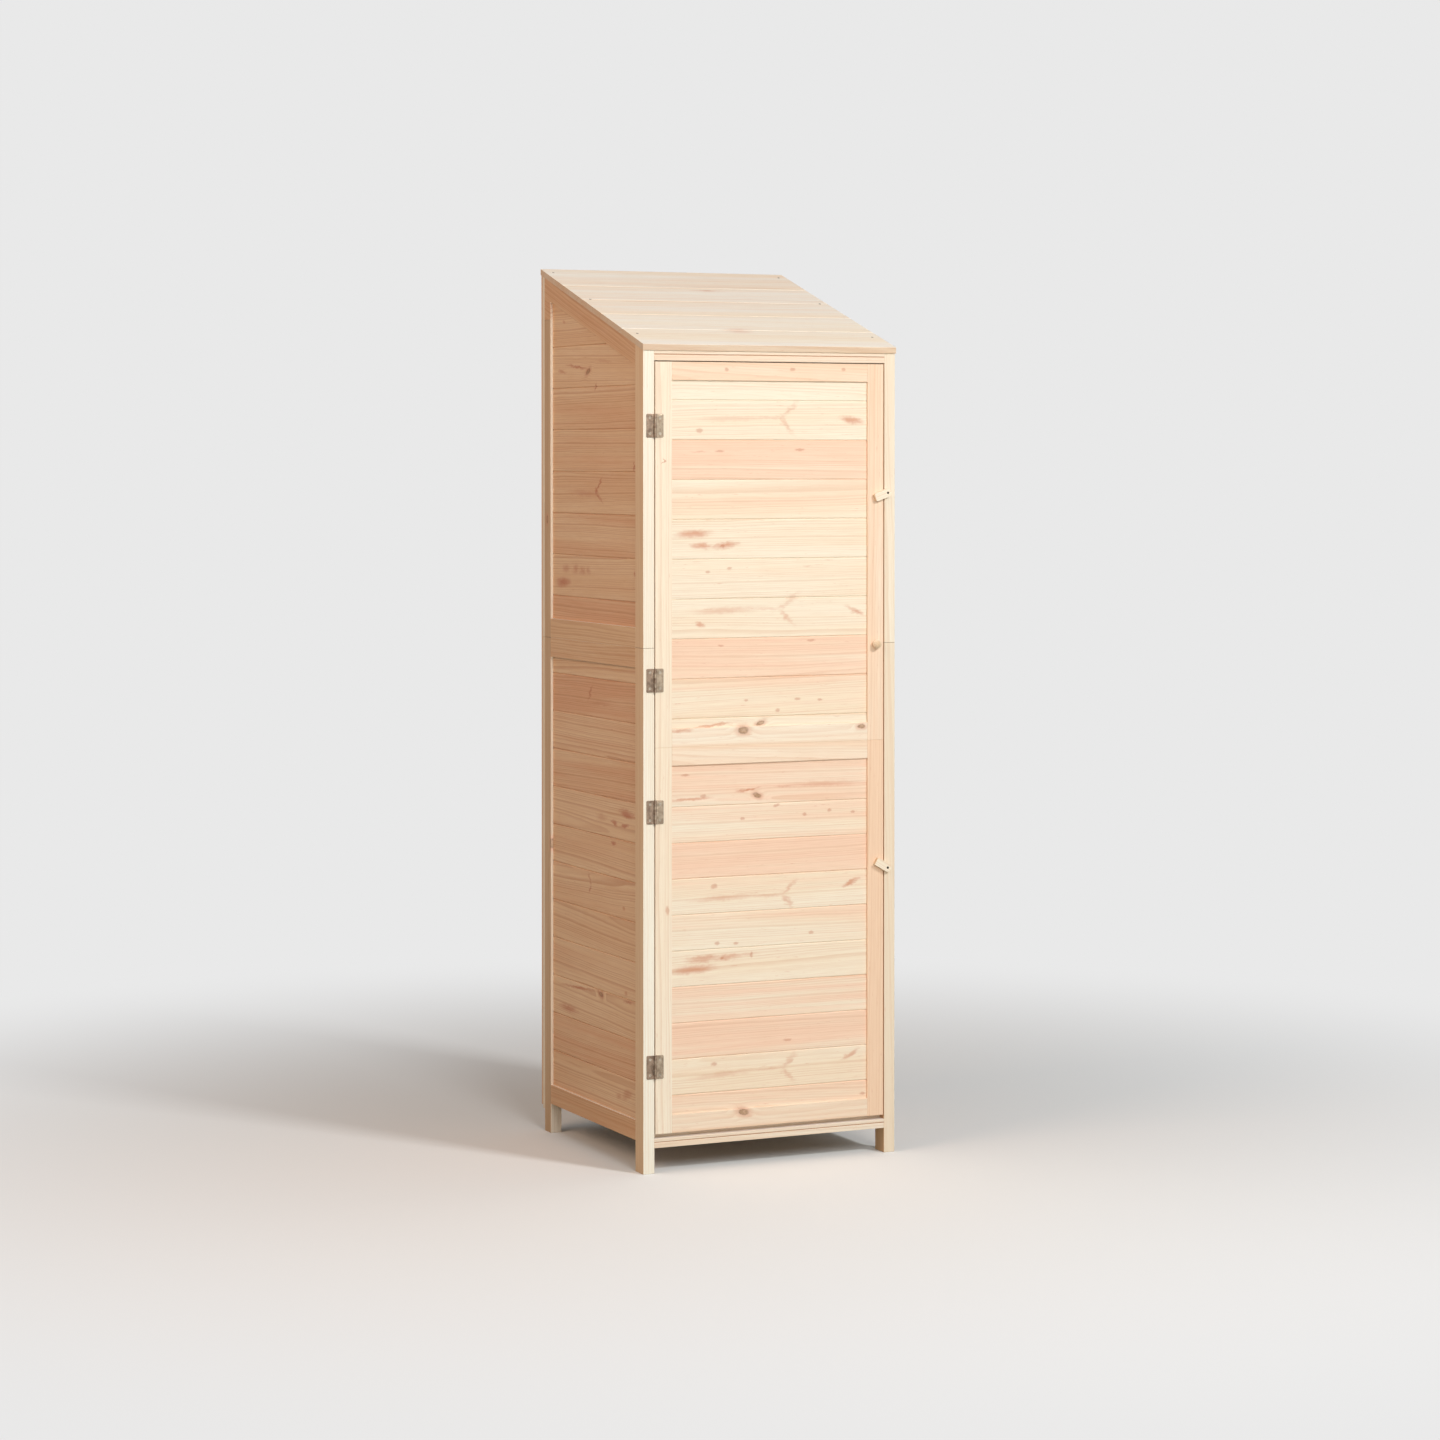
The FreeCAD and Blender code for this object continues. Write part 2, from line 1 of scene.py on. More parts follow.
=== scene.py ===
"""Looks of a tall garden storage cabinet of planed fir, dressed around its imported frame.

Each wooden piece of the frame is copied, parted into its single boards, eased along its long
edges and given its own run of grain. Knob, screws and nail heads are modelled here, and the
knots that show are listed by place. Lengths are metres in the frame's axes: X to the right,
Y to the back, Z up.
"""

import logging
import math
import random
from collections.abc import Iterator
from contextlib import contextmanager
from dataclasses import dataclass, field, replace
from enum import Enum

import bmesh
import bpy
from bmesh.types import BMesh, BMFace
from bpy.types import ID, Material, Mesh, Node, Object, World
from bpy.types import NodeSocket as Socket
from mathutils import Matrix, Vector


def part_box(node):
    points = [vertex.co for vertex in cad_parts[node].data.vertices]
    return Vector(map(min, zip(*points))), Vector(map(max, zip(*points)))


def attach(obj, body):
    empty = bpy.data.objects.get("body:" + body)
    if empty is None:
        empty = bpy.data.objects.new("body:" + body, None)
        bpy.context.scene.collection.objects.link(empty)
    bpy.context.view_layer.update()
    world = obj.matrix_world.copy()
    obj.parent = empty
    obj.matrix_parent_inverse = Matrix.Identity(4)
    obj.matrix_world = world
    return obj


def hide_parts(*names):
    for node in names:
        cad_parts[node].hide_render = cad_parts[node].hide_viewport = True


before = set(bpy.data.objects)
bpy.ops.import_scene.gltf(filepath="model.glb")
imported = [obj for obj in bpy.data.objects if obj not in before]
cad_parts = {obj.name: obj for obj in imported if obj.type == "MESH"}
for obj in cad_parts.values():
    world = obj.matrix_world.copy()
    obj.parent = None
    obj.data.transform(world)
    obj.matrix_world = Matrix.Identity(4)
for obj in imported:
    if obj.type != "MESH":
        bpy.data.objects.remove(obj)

LOG = logging.getLogger("cabinet")
MM = 0.001
MERGED = 0.01 * MM  # vertices this close are one
FLAT = math.radians(1)  # faces that bend less are one
SHARP = math.radians(28)  # edges that bend more are rounded
ROOF_FRONT = 1.597
ROOF_BACK = 1.765
PIN_KNOT = 32.0  # half sizes multiplied, in square millimetres
ABSENT = 50.0  # a distance beyond every knot
EDGE_FACING, GROOVE_FACING = 0.6, 0.8  # cosines under which a face counts as an edge face or a groove's wall, where finishes paint light and shade
RIGHT, INWARD, UPWARD = Vector((1, 0, 0)), Vector((0, 1, 0)), Vector((0, 0, 1))
DOWNWARD = Vector((0, 0, -1))

Colour = tuple[float, float, float]

# How a board lay in its log: how far the pith lies beside it, in board widths, and below it, in
# metres, each a least and a range, how far the grain leans and dips, and where along the log.
PITH_ASIDE, PITH_BELOW, NARROWEST = (0.25, 0.6), (0.010, 0.045), 0.03
LEAN, DIP, START = 0.022, 0.016, (1.0, 30.0)

# Scale along and across the grain, detail and roughness of the broad streaks, the narrow
# streaks, the fibres and the dashes.
FIGURE = ((0.9, 16.0, 3.0, 0.5), (1.6, 62.0, 3.0, 0.5), (16.0, 900.0, 2.0, 0.6),
          (42.0, 420.0, 2.0, 0.6))


class Slot(Enum):
    """Material slots of the record."""

    FRAME = "fir_frame"
    BOARDS = "fir_boards"
    ROOF = "fir_roof"
    DOOR_FRAME = "fir_door_frame"
    DOOR_BOARDS = "fir_door_boards"
    TURNED = "turned_wood"
    BUTTON = "button_wood"
    HINGE = "hinge_steel"
    SCREW = "screw_steel"


class Body(Enum):
    """Bodies of the frame that the pieces ride on."""

    CABINET = "cabinet"
    DOOR = "door"
    UPPER_BUTTON = "upper_button"
    LOWER_BUTTON = "lower_button"


class Mark(Enum):
    """What a branch left in a board."""

    KNOT = "knot"
    PIN = "pin knot"
    FLUSH = "flush"
    STREAK = "streak"


@dataclass(frozen=True)
class Knot:
    """One mark in a board: its place and half sizes in the board's face, in millimetres."""

    along: float
    up: float
    long: float
    high: float
    mark: Mark = Mark.KNOT
    turn: float = 0.0

    @property
    def kind(self) -> Mark:
        """The kind of mark, where a knot too small to show a core is a faint pin knot."""
        small = self.mark is Mark.KNOT and self.long * self.high < PIN_KNOT
        return Mark.PIN if small else self.mark


def listed(mark: Mark, *rows: tuple[float, ...]) -> tuple[Knot, ...]:
    """List marks of one kind from rows of place, half sizes and, if the mark is turned, angle."""
    return tuple(Knot(*row[:4], mark, *row[4:]) for row in rows)


def linear(colour: Colour) -> tuple[float, float, float, float]:
    """Turn a display colour into the value a shader socket takes.

    Args:
        colour: Red, green and blue from 0 to 255, as a screen shows them.

    Returns:
        The same colour as linear red, green, blue and an alpha of one.
    """
    shares = [channel / 255 for channel in colour]
    values = [s / 12.92 if s <= 0.04045 else ((s + 0.055) / 1.055) ** 2.4 for s in shares]
    return (values[0], values[1], values[2], 1.0)


class Graph:
    """Shader nodes of one material or world, added and joined in code."""

    def __init__(self, owner: Material | World) -> None:
        """Start with no nodes.

        Args:
            owner: The material or world that the nodes belong to.
        """
        self.owner = owner
        owner.use_nodes = True
        self.tree = owner.node_tree
        self.tree.nodes.clear()

    def node(self, kind: str, inputs: dict[int | str, object] | None = None,
             **settings: object) -> Node:
        """Add a node.

        Args:
            kind: The kind of node.
            inputs: What each input takes, by its number or name: a socket or a plain value.
            settings: The node's own settings.

        Returns:
            The node.
        """
        made = self.tree.nodes.new(kind)
        for setting, value in settings.items():
            setattr(made, setting, value)
        for name, value in (inputs or {}).items():
            if isinstance(value, Socket):
                self.tree.links.new(value, made.inputs[name])
            else:
                made.inputs[name].default_value = value
        return made

    def maths(self, operation: str, *values: object, clamp: bool = False) -> Socket:
        """Add a number operation on up to three values."""
        inputs = dict(enumerate(values))
        return self.node("ShaderNodeMath", inputs, operation=operation, use_clamp=clamp).outputs[0]

    def vector(self, operation: str, *values: object) -> Socket:
        """Add a vector operation and give its vector."""
        inputs = dict(enumerate(values))
        return self.node("ShaderNodeVectorMath", inputs, operation=operation).outputs[0]

    def length(self, value: Socket) -> Socket:
        """Add the length of a vector."""
        return self.node("ShaderNodeVectorMath", {0: value}, operation="LENGTH").outputs["Value"]

    def noise(self, where: Socket, scale: tuple[float, float, float], detail: float,
              roughness: float = 0.5) -> Node:
        """Add noise, stretched along each axis."""
        inputs = {"Vector": self.vector("MULTIPLY", where, scale), "Scale": 1.0}
        return self.node("ShaderNodeTexNoise", inputs | {"Detail": detail, "Roughness": roughness})

    def drift(self, noise: Node) -> Socket:
        """Turn a noise's colour into a shift either way."""
        return self.vector("SUBTRACT", noise.outputs["Color"], (0.5, 0.5, 0.5))

    def shift(self, place: Socket, drift: Socket, reach: tuple[float, float, float]) -> Socket:
        """Move a place by a drift of some reach along each axis."""
        return self.vector("MULTIPLY_ADD", drift, reach, place)

    def spread(self, value: Socket, low: float, high: float, first: float, last: float) -> Socket:
        """Carry a value smoothly from low..high to first..last, held at both ends."""
        inputs = dict(enumerate((value, low, high, first, last)))
        return self.node("ShaderNodeMapRange", inputs, interpolation_type="SMOOTHSTEP",
                         clamp=True).outputs[0]

    def blend(self, share: object, first: object, second: object, mode: str = "MIX") -> Socket:
        """Blend two colours by a share."""
        return self.node("ShaderNodeMix", {"Factor": share, 6: first, 7: second},
                         data_type="RGBA", blend_type=mode).outputs[2]

    def stain(self, colour: Socket, share: object, tone: Colour, mode: str = "MIX") -> Socket:
        """Blend a display colour into a colour by a share."""
        return self.blend(share, colour, linear(tone), mode)

    def attribute(self, name: str, output: str = "Fac") -> Socket:
        """Read a mesh attribute."""
        return self.node("ShaderNodeAttribute", attribute_name=name).outputs[output]

    def seen(self) -> Socket:
        """Tell whether the camera sees a point, straight, in gloss or through glass.

        Returns:
            One where it does, else zero.
        """
        path = self.node("ShaderNodeLightPath").outputs
        gloss = self.maths("MAXIMUM", path["Is Glossy Ray"], path["Is Transmission Ray"])
        return self.maths("MAXIMUM", path["Is Camera Ray"], gloss)

    def mix(self, share: Socket, first: Socket, second: Socket) -> Socket:
        """Mix two shaders by a share."""
        return self.node("ShaderNodeMixShader", {0: share, 1: first, 2: second}).outputs[0]

    def close(self, colour: Socket, roughness: Socket, height: Socket, relief: float,
              metallic: float = 0.0, specular: float = 0.5) -> Material:
        """Join colour, roughness and relief to the surface.

        Args:
            colour: Base colour.
            roughness: Roughness.
            height: Height of the relief from 0 to 1.
            relief: Depth of the relief in metres.
            metallic: Share of bare metal.
            specular: Level of the clear reflection.

        Returns:
            The finished material.
        """
        bump = self.node("ShaderNodeBump", {"Strength": 1.0, "Distance": relief, "Height": height})
        shader = self.node("ShaderNodeBsdfPrincipled", {
            "Base Color": colour, "Roughness": roughness, "Normal": bump.outputs[0],
            "Metallic": metallic, "Specular IOR Level": specular,
        })
        self.node("ShaderNodeOutputMaterial", {"Surface": shader.outputs[0]})
        return self.owner


@dataclass(frozen=True)
class FirFinish:
    """Planed, unpainted fir: three tones in broad streaks, growth rings, fibres and knots."""

    name: str
    slot: Slot
    pale: Colour
    cream: Colour
    pink: Colour
    late: Colour = (205, 150, 104)
    knot: Colour = (158, 126, 90)
    rim: Colour = (118, 84, 56)
    pin: Colour = (192, 110, 70)
    flush: Colour = (210, 142, 110)
    ring_pitch: float = 4.2 * MM
    ring_strength: float = 0.42
    streaks: float = 1.0
    strewn: float = 0.0
    knots: tuple[Knot, ...] = ()
    face_axes: tuple[int, int] = (0, 2)
    # Cut faces: an edge colour paler than cream is painted light on lit faces, a darker one (the
    # roof's) is the wood's own tone; the groove colour is painted shade on groove walls; the
    # end-grain colour, on posts and side stiles, also paints the shade in the seams between tiers.
    edge: Colour | None = None
    groove: Colour | None = None
    end_tone_and_seam_shade: Colour = (226, 206, 180)
    end_tone_and_seam_shade_share: float = 0.75

    def material(self) -> Material:
        """Build the finish as a material."""
        return FirGraph(self).finish()


class FirGraph(Graph):
    """Shader nodes of one fir finish, which read grain, tint and cut faces off the mesh."""

    def __init__(self, wood: FirFinish) -> None:
        """Read the grain, and the point in the board's face, torn finely and broadly.

        Args:
            wood: The finish.
        """
        super().__init__(bpy.data.materials.new(wood.name))
        self.wood = wood
        self.grain = self.attribute("grain", "Vector")
        where = self.node("ShaderNodeTexCoord").outputs["Object"]
        axes = self.node("ShaderNodeSeparateXYZ", {0: where}).outputs
        across, up = wood.face_axes
        face = self.node("ShaderNodeCombineXYZ", {0: axes[across], 1: axes[up]}).outputs[0]
        self.ragged = self.noise(where, (170.0, 170.0, 170.0), 2.0)
        torn = self.drift(self.noise(where, (48.0, 48.0, 130.0), 3.0, 0.6))
        self.place = self.shift(face, self.drift(self.ragged), (0.006, 0.0035, 0.0))
        self.cloudy = self.shift(self.place, torn, (0.034, 0.009, 0.0))

    def marks(self, mark: Mark, place: Socket) -> Socket | None:
        """Measure how far a point lies from the nearest listed mark of a kind.

        Args:
            mark: The kind of mark.
            place: The point in the board's face.

        Returns:
            The distance, which is 1 at the mark's edge, or None if the finish lists none.
        """
        nearest: Socket | None = None
        for knot in (knot for knot in self.wood.knots if knot.kind is mark):
            distance = self.length(self.node("ShaderNodeMapping", {
                "Vector": place,
                "Location": (knot.along * MM, knot.up * MM, 0.0),
                "Rotation": (0.0, 0.0, math.radians(knot.turn)),
                "Scale": (knot.long * MM, knot.high * MM, 1.0),
            }, vector_type="TEXTURE").outputs[0])
            nearest = distance if nearest is None else self.maths("MINIMUM", nearest, distance)
        return nearest

    def nearest_knot(self) -> Socket:
        """Measure how far a point lies from a listed knot or one of a sparse random set.

        Returns:
            The distance from the nearest, which is 1 at the knot's edge.
        """
        cells = self.node("ShaderNodeTexVoronoi", {
            "Vector": self.vector("MULTIPLY", self.grain, (6.0, 12.0, 0.0)), "Scale": 1.0,
        }, voronoi_dimensions="2D")
        chance = self.node("ShaderNodeSeparateColor", {0: cells.outputs["Color"]}).outputs
        size = self.spread(chance[1], 0.0, 1.0, 0.022, 0.06)
        distance = self.maths("DIVIDE", cells.outputs["Distance"], size)
        absent = self.maths("GREATER_THAN", chance[0], self.wood.strewn)
        distance = self.maths("MULTIPLY_ADD", absent, ABSENT, distance)
        placed = self.marks(Mark.KNOT, self.place)
        return distance if placed is None else self.maths("MINIMUM", distance, placed)

    def rings(self, push: Socket) -> Socket:
        """Draw the growth rings as the share of late wood.

        Args:
            push: How far the knots push the rings aside, in metres.

        Returns:
            The share of late wood from 0 to 1.
        """
        slow = self.drift(self.noise(self.grain, (1.3, 7.0, 7.0), 2.0))
        fast = self.drift(self.noise(self.grain, (11.0, 60.0, 60.0), 2.0))
        bent = self.shift(self.grain, slow, (0.0, 0.022, 0.022))
        bent = self.shift(bent, fast, (0.0, 0.0016, 0.0016))
        radius = self.length(self.vector("MULTIPLY", bent, (0.0, 1.0, 1.0)))
        radius = self.maths("ADD", radius, push)
        growth = self.node("ShaderNodeTexNoise", {"W": radius, "Scale": 95.0, "Detail": 1.0},
                           noise_dimensions="1D")
        turns = self.maths("DIVIDE", radius, self.wood.ring_pitch)
        turns = self.maths("MULTIPLY_ADD", growth.outputs["Fac"], 2.4, turns)
        year = self.node("ShaderNodeTexWhiteNoise", {"W": self.maths("FLOOR", turns)},
                         noise_dimensions="1D").outputs["Value"]
        part = self.maths("FRACT", turns)
        late = self.maths("MULTIPLY", self.spread(part, 0.25, 0.88, 0.0, 1.0),
                          self.spread(part, 0.9, 1.0, 1.0, 0.0))
        return self.maths("MULTIPLY", late, self.spread(year, 0.0, 1.0, 0.25, 1.0))

    def plain(self, late: Socket) -> tuple[Socket, Socket, Socket]:
        """Colour plain wood in streaks, growth rings, dashes and fibres.

        Args:
            late: The share of late wood.

        Returns:
            The colour, the narrow streaks and the fibres.
        """
        wood = self.wood
        broad, narrow, fibre, fleck = (
            self.noise(self.grain, (along, across, across), detail, roughness).outputs["Fac"]
            for along, across, detail, roughness in FIGURE
        )
        colour = self.blend(self.spread(broad, 0.36, 0.66, 0.0, 1.0),
                            linear(wood.pale), linear(wood.cream))
        blush = self.attribute("tint")
        for streak, share in ((narrow, wood.streaks), (broad, 0.8 * wood.streaks)):
            blush = self.maths("MULTIPLY_ADD", self.maths("SUBTRACT", streak, 0.5), share, blush)
        colour = self.stain(colour, self.spread(blush, 0.2, 0.95, 0.0, 1.0), wood.pink)
        colour = self.stain(colour, self.maths("MULTIPLY", late, wood.ring_strength), wood.late)
        colour = self.stain(colour, self.spread(fleck, 0.66, 0.78, 0.0, 0.4), wood.flush)
        colour = self.stain(colour, self.spread(fibre, 0.3, 0.75, 0.0, 0.16), wood.late)
        return colour, narrow, fibre

    def flushed(self, colour: Socket, narrow: Socket) -> Socket:
        """Lay flush patches and streaks over the wood.

        Args:
            colour: The plain wood.
            narrow: The narrow streaks, which the patches fade along.

        Returns:
            The colour with the patches and streaks.
        """
        inner = self.spread(narrow, 0.35, 0.6, 0.55, 1.0)
        for mark, near, far, most in ((Mark.FLUSH, 0.2, 1.4, 0.76), (Mark.STREAK, 0.0, 1.7, 0.46)):
            reach = self.marks(mark, self.cloudy)
            if reach is not None:
                share = self.maths("MULTIPLY", self.spread(reach, near, far, most, 0.0), inner)
                colour = self.stain(colour, share, self.wood.flush)
        return colour

    def knotted(self, colour: Socket, knot: Socket) -> Socket:
        """Lay pin knots over the wood, and knots with a halo, a rim and a broken core.

        Args:
            colour: The wood.
            knot: The distance from the nearest knot.

        Returns:
            The colour with the knots.
        """
        pin = self.marks(Mark.PIN, self.place)
        if pin is not None:
            colour = self.stain(colour, self.spread(pin, 0.5, 1.5, 0.42, 0.0), self.wood.pin)
        colour = self.stain(colour, self.spread(knot, 0.9, 2.4, 0.4, 0.0), self.wood.flush)
        core = self.blend(self.spread(knot, 0.45, 0.95, 0.0, 1.0), linear(self.wood.knot),
                          linear(self.wood.rim))
        speck = self.spread(self.ragged.outputs["Fac"], 0.35, 0.6, 0.66, 1.0)
        share = self.maths("MULTIPLY", self.spread(knot, 0.7, 1.25, 0.74, 0.0), speck)
        return self.blend(share, colour, core)

    def cut_faces_and_painted_light(self, colour: Socket) -> Socket:
        """Colour edge faces, groove walls and end grain apart from the planed face, with painted
        light and shade.

        Args:
            colour: The wood of the planed face.

        Returns:
            The colour of every face.
        """
        wood = self.wood
        # Paler edge faces are painted light: on posts, side stiles, side rails, front rails and
        # floor they stand in for the light on reveals, ledges and the faces in the door's gaps;
        # the roof's darker edge faces are its own tone.
        if wood.edge is not None:
            lift = [side / base for side, base in zip(linear(wood.edge), linear(wood.cream))]
            colour = self.blend(self.attribute("edge_face"), colour, lift, "MULTIPLY")
        # Darker groove walls are painted shade in the grooves.
        if wood.groove is not None:
            colour = self.stain(colour, self.attribute("groove"), wood.groove, "MULTIPLY")
        # End grain is darker; on posts and side stiles the strong share also paints the shade in
        # the seams between tiers.
        end = self.maths("MULTIPLY", self.attribute("end_grain"), wood.end_tone_and_seam_shade_share, clamp=True)
        return self.blend(end, colour, self.stain(colour, 1.0, wood.end_tone_and_seam_shade, "MULTIPLY"))

    def finish(self) -> Material:
        """Lay rings, streaks, marks and cut faces over each other.

        Returns:
            The finished material.
        """
        knot = self.nearest_knot()
        late = self.rings(self.spread(knot, 0.4, 4.2, 4.5 * MM, 0.0))
        colour, narrow, fibre = self.plain(late)
        colour = self.cut_faces_and_painted_light(self.knotted(self.flushed(colour, narrow), knot))
        roughness = self.spread(fibre, 0.25, 0.75, 0.5, 0.66)
        height = self.maths("MULTIPLY_ADD", fibre, 0.65, self.maths("MULTIPLY", late, 0.35))
        return self.close(colour, roughness, height, relief=0.16 * MM, specular=0.35)


@dataclass(frozen=True)
class SteelFinish:
    """Zinc-plated steel, drawn in fine lines, with a cloudy plating."""

    name: str
    slot: Slot
    bright: Colour
    dull: Colour
    roughness: float
    drawn: tuple[float, float, float] = (900.0, 900.0, 60.0)

    def material(self) -> Material:
        """Build the finish as a material on the piece's own place.

        Returns:
            The finished material.
        """
        graph = Graph(bpy.data.materials.new(self.name))
        where = graph.node("ShaderNodeTexCoord").outputs["Object"]
        cloud = graph.noise(where, (160.0, 160.0, 160.0), 3.0).outputs["Fac"]
        line = graph.noise(where, self.drawn, 2.0).outputs["Fac"]
        colour = graph.blend(graph.spread(cloud, 0.3, 0.7, 0.0, 1.0),
                             linear(self.bright), linear(self.dull))
        rough = graph.spread(line, 0.25, 0.75, self.roughness - 0.08, self.roughness + 0.1)
        return graph.close(colour, rough, line, relief=0.03 * MM, metallic=0.85)


def activate(piece: Object) -> None:
    """Leave one piece alone selected and active.

    Args:
        piece: The piece.
    """
    bpy.ops.object.select_all(action="DESELECT")
    piece.select_set(True)
    bpy.context.view_layer.objects.active = piece


def add(name: str, data: ID) -> Object:
    """Add an object to the scene.

    Args:
        name: Its name.
        data: Its mesh, camera or light.

    Returns:
        The object.
    """
    made = bpy.data.objects.new(name, data)
    bpy.context.scene.collection.objects.link(made)
    return made


@contextmanager
def editing(data: Mesh) -> Iterator[BMesh]:
    """Open a mesh for work on its faces, and write it back.

    Args:
        data: The mesh.

    Yields:
        The open mesh.
    """
    mesh = bmesh.new()
    mesh.from_mesh(data)
    yield mesh
    mesh.to_mesh(data)
    mesh.free()


def bind(piece: Object, node: str, body: Body, finish: FirFinish | SteelFinish) -> None:
    """Let a finished piece stand for a node of the frame, on its body and in its finish.

    Args:
        piece: The finished piece.
        node: The node that it stands for.
        body: The body that it rides on.
        finish: Its finish, whose material is built when it is first asked for.
    """
    piece.data.materials.clear()
    piece.data.materials.append(bpy.data.materials.get(finish.name) or finish.material())
    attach(piece, body.value)
    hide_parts(node)
    LOG.info("%s stands for %s on %s", piece.name, node, body.value)


def flood(mesh: BMesh, closed_only: bool) -> Iterator[list[BMFace]]:
    """Give the groups of faces that hang together.

    Args:
        mesh: The mesh.
        closed_only: Whether only edges of exactly two faces join their faces.

    Yields:
        The faces of one group.
    """
    seen: set[int] = set()
    mesh.faces.index_update()
    for start in mesh.faces:
        if start.index in seen:
            continue
        seen.add(start.index)
        group = [start]
        for face in group:
            for edge in face.edges:
                if closed_only and len(edge.link_faces) != 2:
                    continue
                for other in edge.link_faces:
                    if other.index not in seen:
                        seen.add(other.index)
                        group.append(other)
        yield group


def corners(faces: list[BMFace]) -> tuple[Vector, Vector]:
    """Give the lowest and highest corners of some faces.

    Args:
        faces: The faces.

    Returns:
        Both corners of their box.
    """
    points = [vertex.co for face in faces for vertex in face.verts]
    low = Vector(min(point[axis] for point in points) for axis in range(3))
    high = Vector(max(point[axis] for point in points) for axis in range(3))
    return low, high


def copy_node(node: str, name: str) -> Object:
    """Copy a node of the frame as a piece of its own, with its loose triangles merged.

    Args:
        node: The node's name.
        name: The new piece's name.

    Returns:
        The copy, free of any body, its boards parted from each other.
    """
    piece = add(name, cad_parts[node].data.copy())
    with editing(piece.data) as mesh:
        bmesh.ops.remove_doubles(mesh, verts=mesh.verts, dist=MERGED)
        groups = list(flood(mesh, closed_only=True))
        for group in groups[1:]:
            bmesh.ops.split(mesh, geom=group)
        bmesh.ops.dissolve_limit(mesh, angle_limit=FLAT, verts=mesh.verts, edges=mesh.edges)
    for attribute in [a.name for a in piece.data.attributes if a.name.startswith("UVMap")]:
        piece.data.attributes.remove(piece.data.attributes[attribute])
    return piece


def ease(piece: Object, width: float, shortest: float) -> None:
    """Round a piece's long outer edges, without reaching past its box.

    Args:
        piece: The piece.
        width: Width of the rounding.
        shortest: Length under which an edge stays sharp, which spares holes and small steps.
    """
    with editing(piece.data) as mesh:
        weight = mesh.edges.layers.float.new("bevel_weight_edge")
        for edge in mesh.edges:
            sharp = len(edge.link_faces) == 2 and edge.calc_face_angle_signed() > SHARP
            edge[weight] = float(sharp and edge.calc_length() > shortest)
        low, high = corners(list(mesh.faces))
    activate(piece)
    rounding = piece.modifiers.new("easing", "BEVEL")
    rounding.limit_method = "WEIGHT"
    rounding.width = width
    rounding.segments = 2
    rounding.use_clamp_overlap = False
    bpy.ops.object.modifier_apply(modifier=rounding.name)
    for vertex in piece.data.vertices:
        vertex.co = [min(max(at, least), most) for at, least, most in zip(vertex.co, low, high)]


@dataclass
class Timber:
    """One wooden node of the frame, dressed board by board."""

    node: str
    finish: FirFinish
    body: Body = Body.CABINET
    run: Vector | None = None
    face: Vector | None = None
    tints: tuple[float, ...] = ()
    easing: float = 0.6 * MM
    shortest: float = 8 * MM
    spread: float = 1.0
    fade: float = 0.0
    series: str = ""

    def axes(self, low: Vector, high: Vector) -> tuple[Vector, Vector, Vector]:
        """Give the ways along, across and through a board.

        Args:
            low: The board's lowest corner.
            high: The board's highest corner.

        Returns:
            Unit vectors along the grain, across the board's face and into its thickness.
        """
        order = sorted(range(3), key=lambda axis: high[axis] - low[axis])
        units = (RIGHT, INWARD, UPWARD)
        along = self.run or units[order[2]]
        through = self.face or units[order[0]]
        return along, through.cross(along).normalized(), through

    def tag(self, piece: Object) -> None:
        """Write each board's grain and tint into the mesh, and mark its end grain, edge faces and
        groove walls, which the finish colours apart, partly as painted light and shade.

        Pieces of one series are cut from one length: their grain runs on from piece to piece.

        Args:
            piece: The piece.
        """
        with editing(piece.data) as mesh:
            grain = mesh.verts.layers.float_vector.new("grain")
            tint = mesh.verts.layers.float.new("tint")
            end = mesh.faces.layers.float.new("end_grain")
            edge = mesh.faces.layers.float.new("edge_face")
            groove = mesh.faces.layers.float.new("groove")
            boards = [(corners(faces), faces) for faces in flood(mesh, closed_only=False)]
            boards.sort(key=lambda board: tuple(round(at, 4) for at in reversed(board[0][0])))
            for number, ((low, high), faces) in enumerate(boards):
                draw = random.Random(f"{self.series or self.node}:{number}")
                along, across, through = self.axes(low, high)
                middle = (low + high) / 2
                if self.series:
                    middle -= along * middle.dot(along)
                width = abs((high - low).dot(across))
                side = draw.choice((-1, 1))
                aside = PITH_ASIDE[0] + PITH_ASIDE[1] * draw.random()
                pith = side * aside * max(width, NARROWEST)
                below = PITH_BELOW[0] + PITH_BELOW[1] * draw.random()
                lean, dip = draw.uniform(-LEAN, LEAN), draw.uniform(-DIP, DIP)
                start = draw.uniform(*START)
                tone = self.tints[number % len(self.tints)] if self.tints else draw.random()
                height = max(high.z - low.z, MM)
                for face in faces:
                    facing = abs(face.normal.dot(through))
                    # The edge-face and groove-wall masks carry painted light and painted shade.
                    face[edge] = float(facing < EDGE_FACING)
                    face[groove] = float(EDGE_FACING <= facing < GROOVE_FACING)
                    face[end] = min(max((abs(face.normal.dot(along)) - 0.2) * 1.25, 0.0), 1.0)
                    for vertex in face.verts:
                        place = vertex.co - middle
                        reach = place.dot(along)
                        vertex[grain] = Vector((start + reach,
                                                place.dot(across) + pith + lean * reach,
                                                place.dot(through) + below + dip * reach))
                        vertex[tint] = tone * self.spread + self.fade * place.z / height

    def dress(self) -> None:
        """Copy the node, ease and tag it, and let the copy stand for it."""
        piece = copy_node(self.node, f"planed_{self.node}")
        ease(piece, self.easing, self.shortest)
        self.tag(piece)
        bind(piece, self.node, self.body, self.finish)


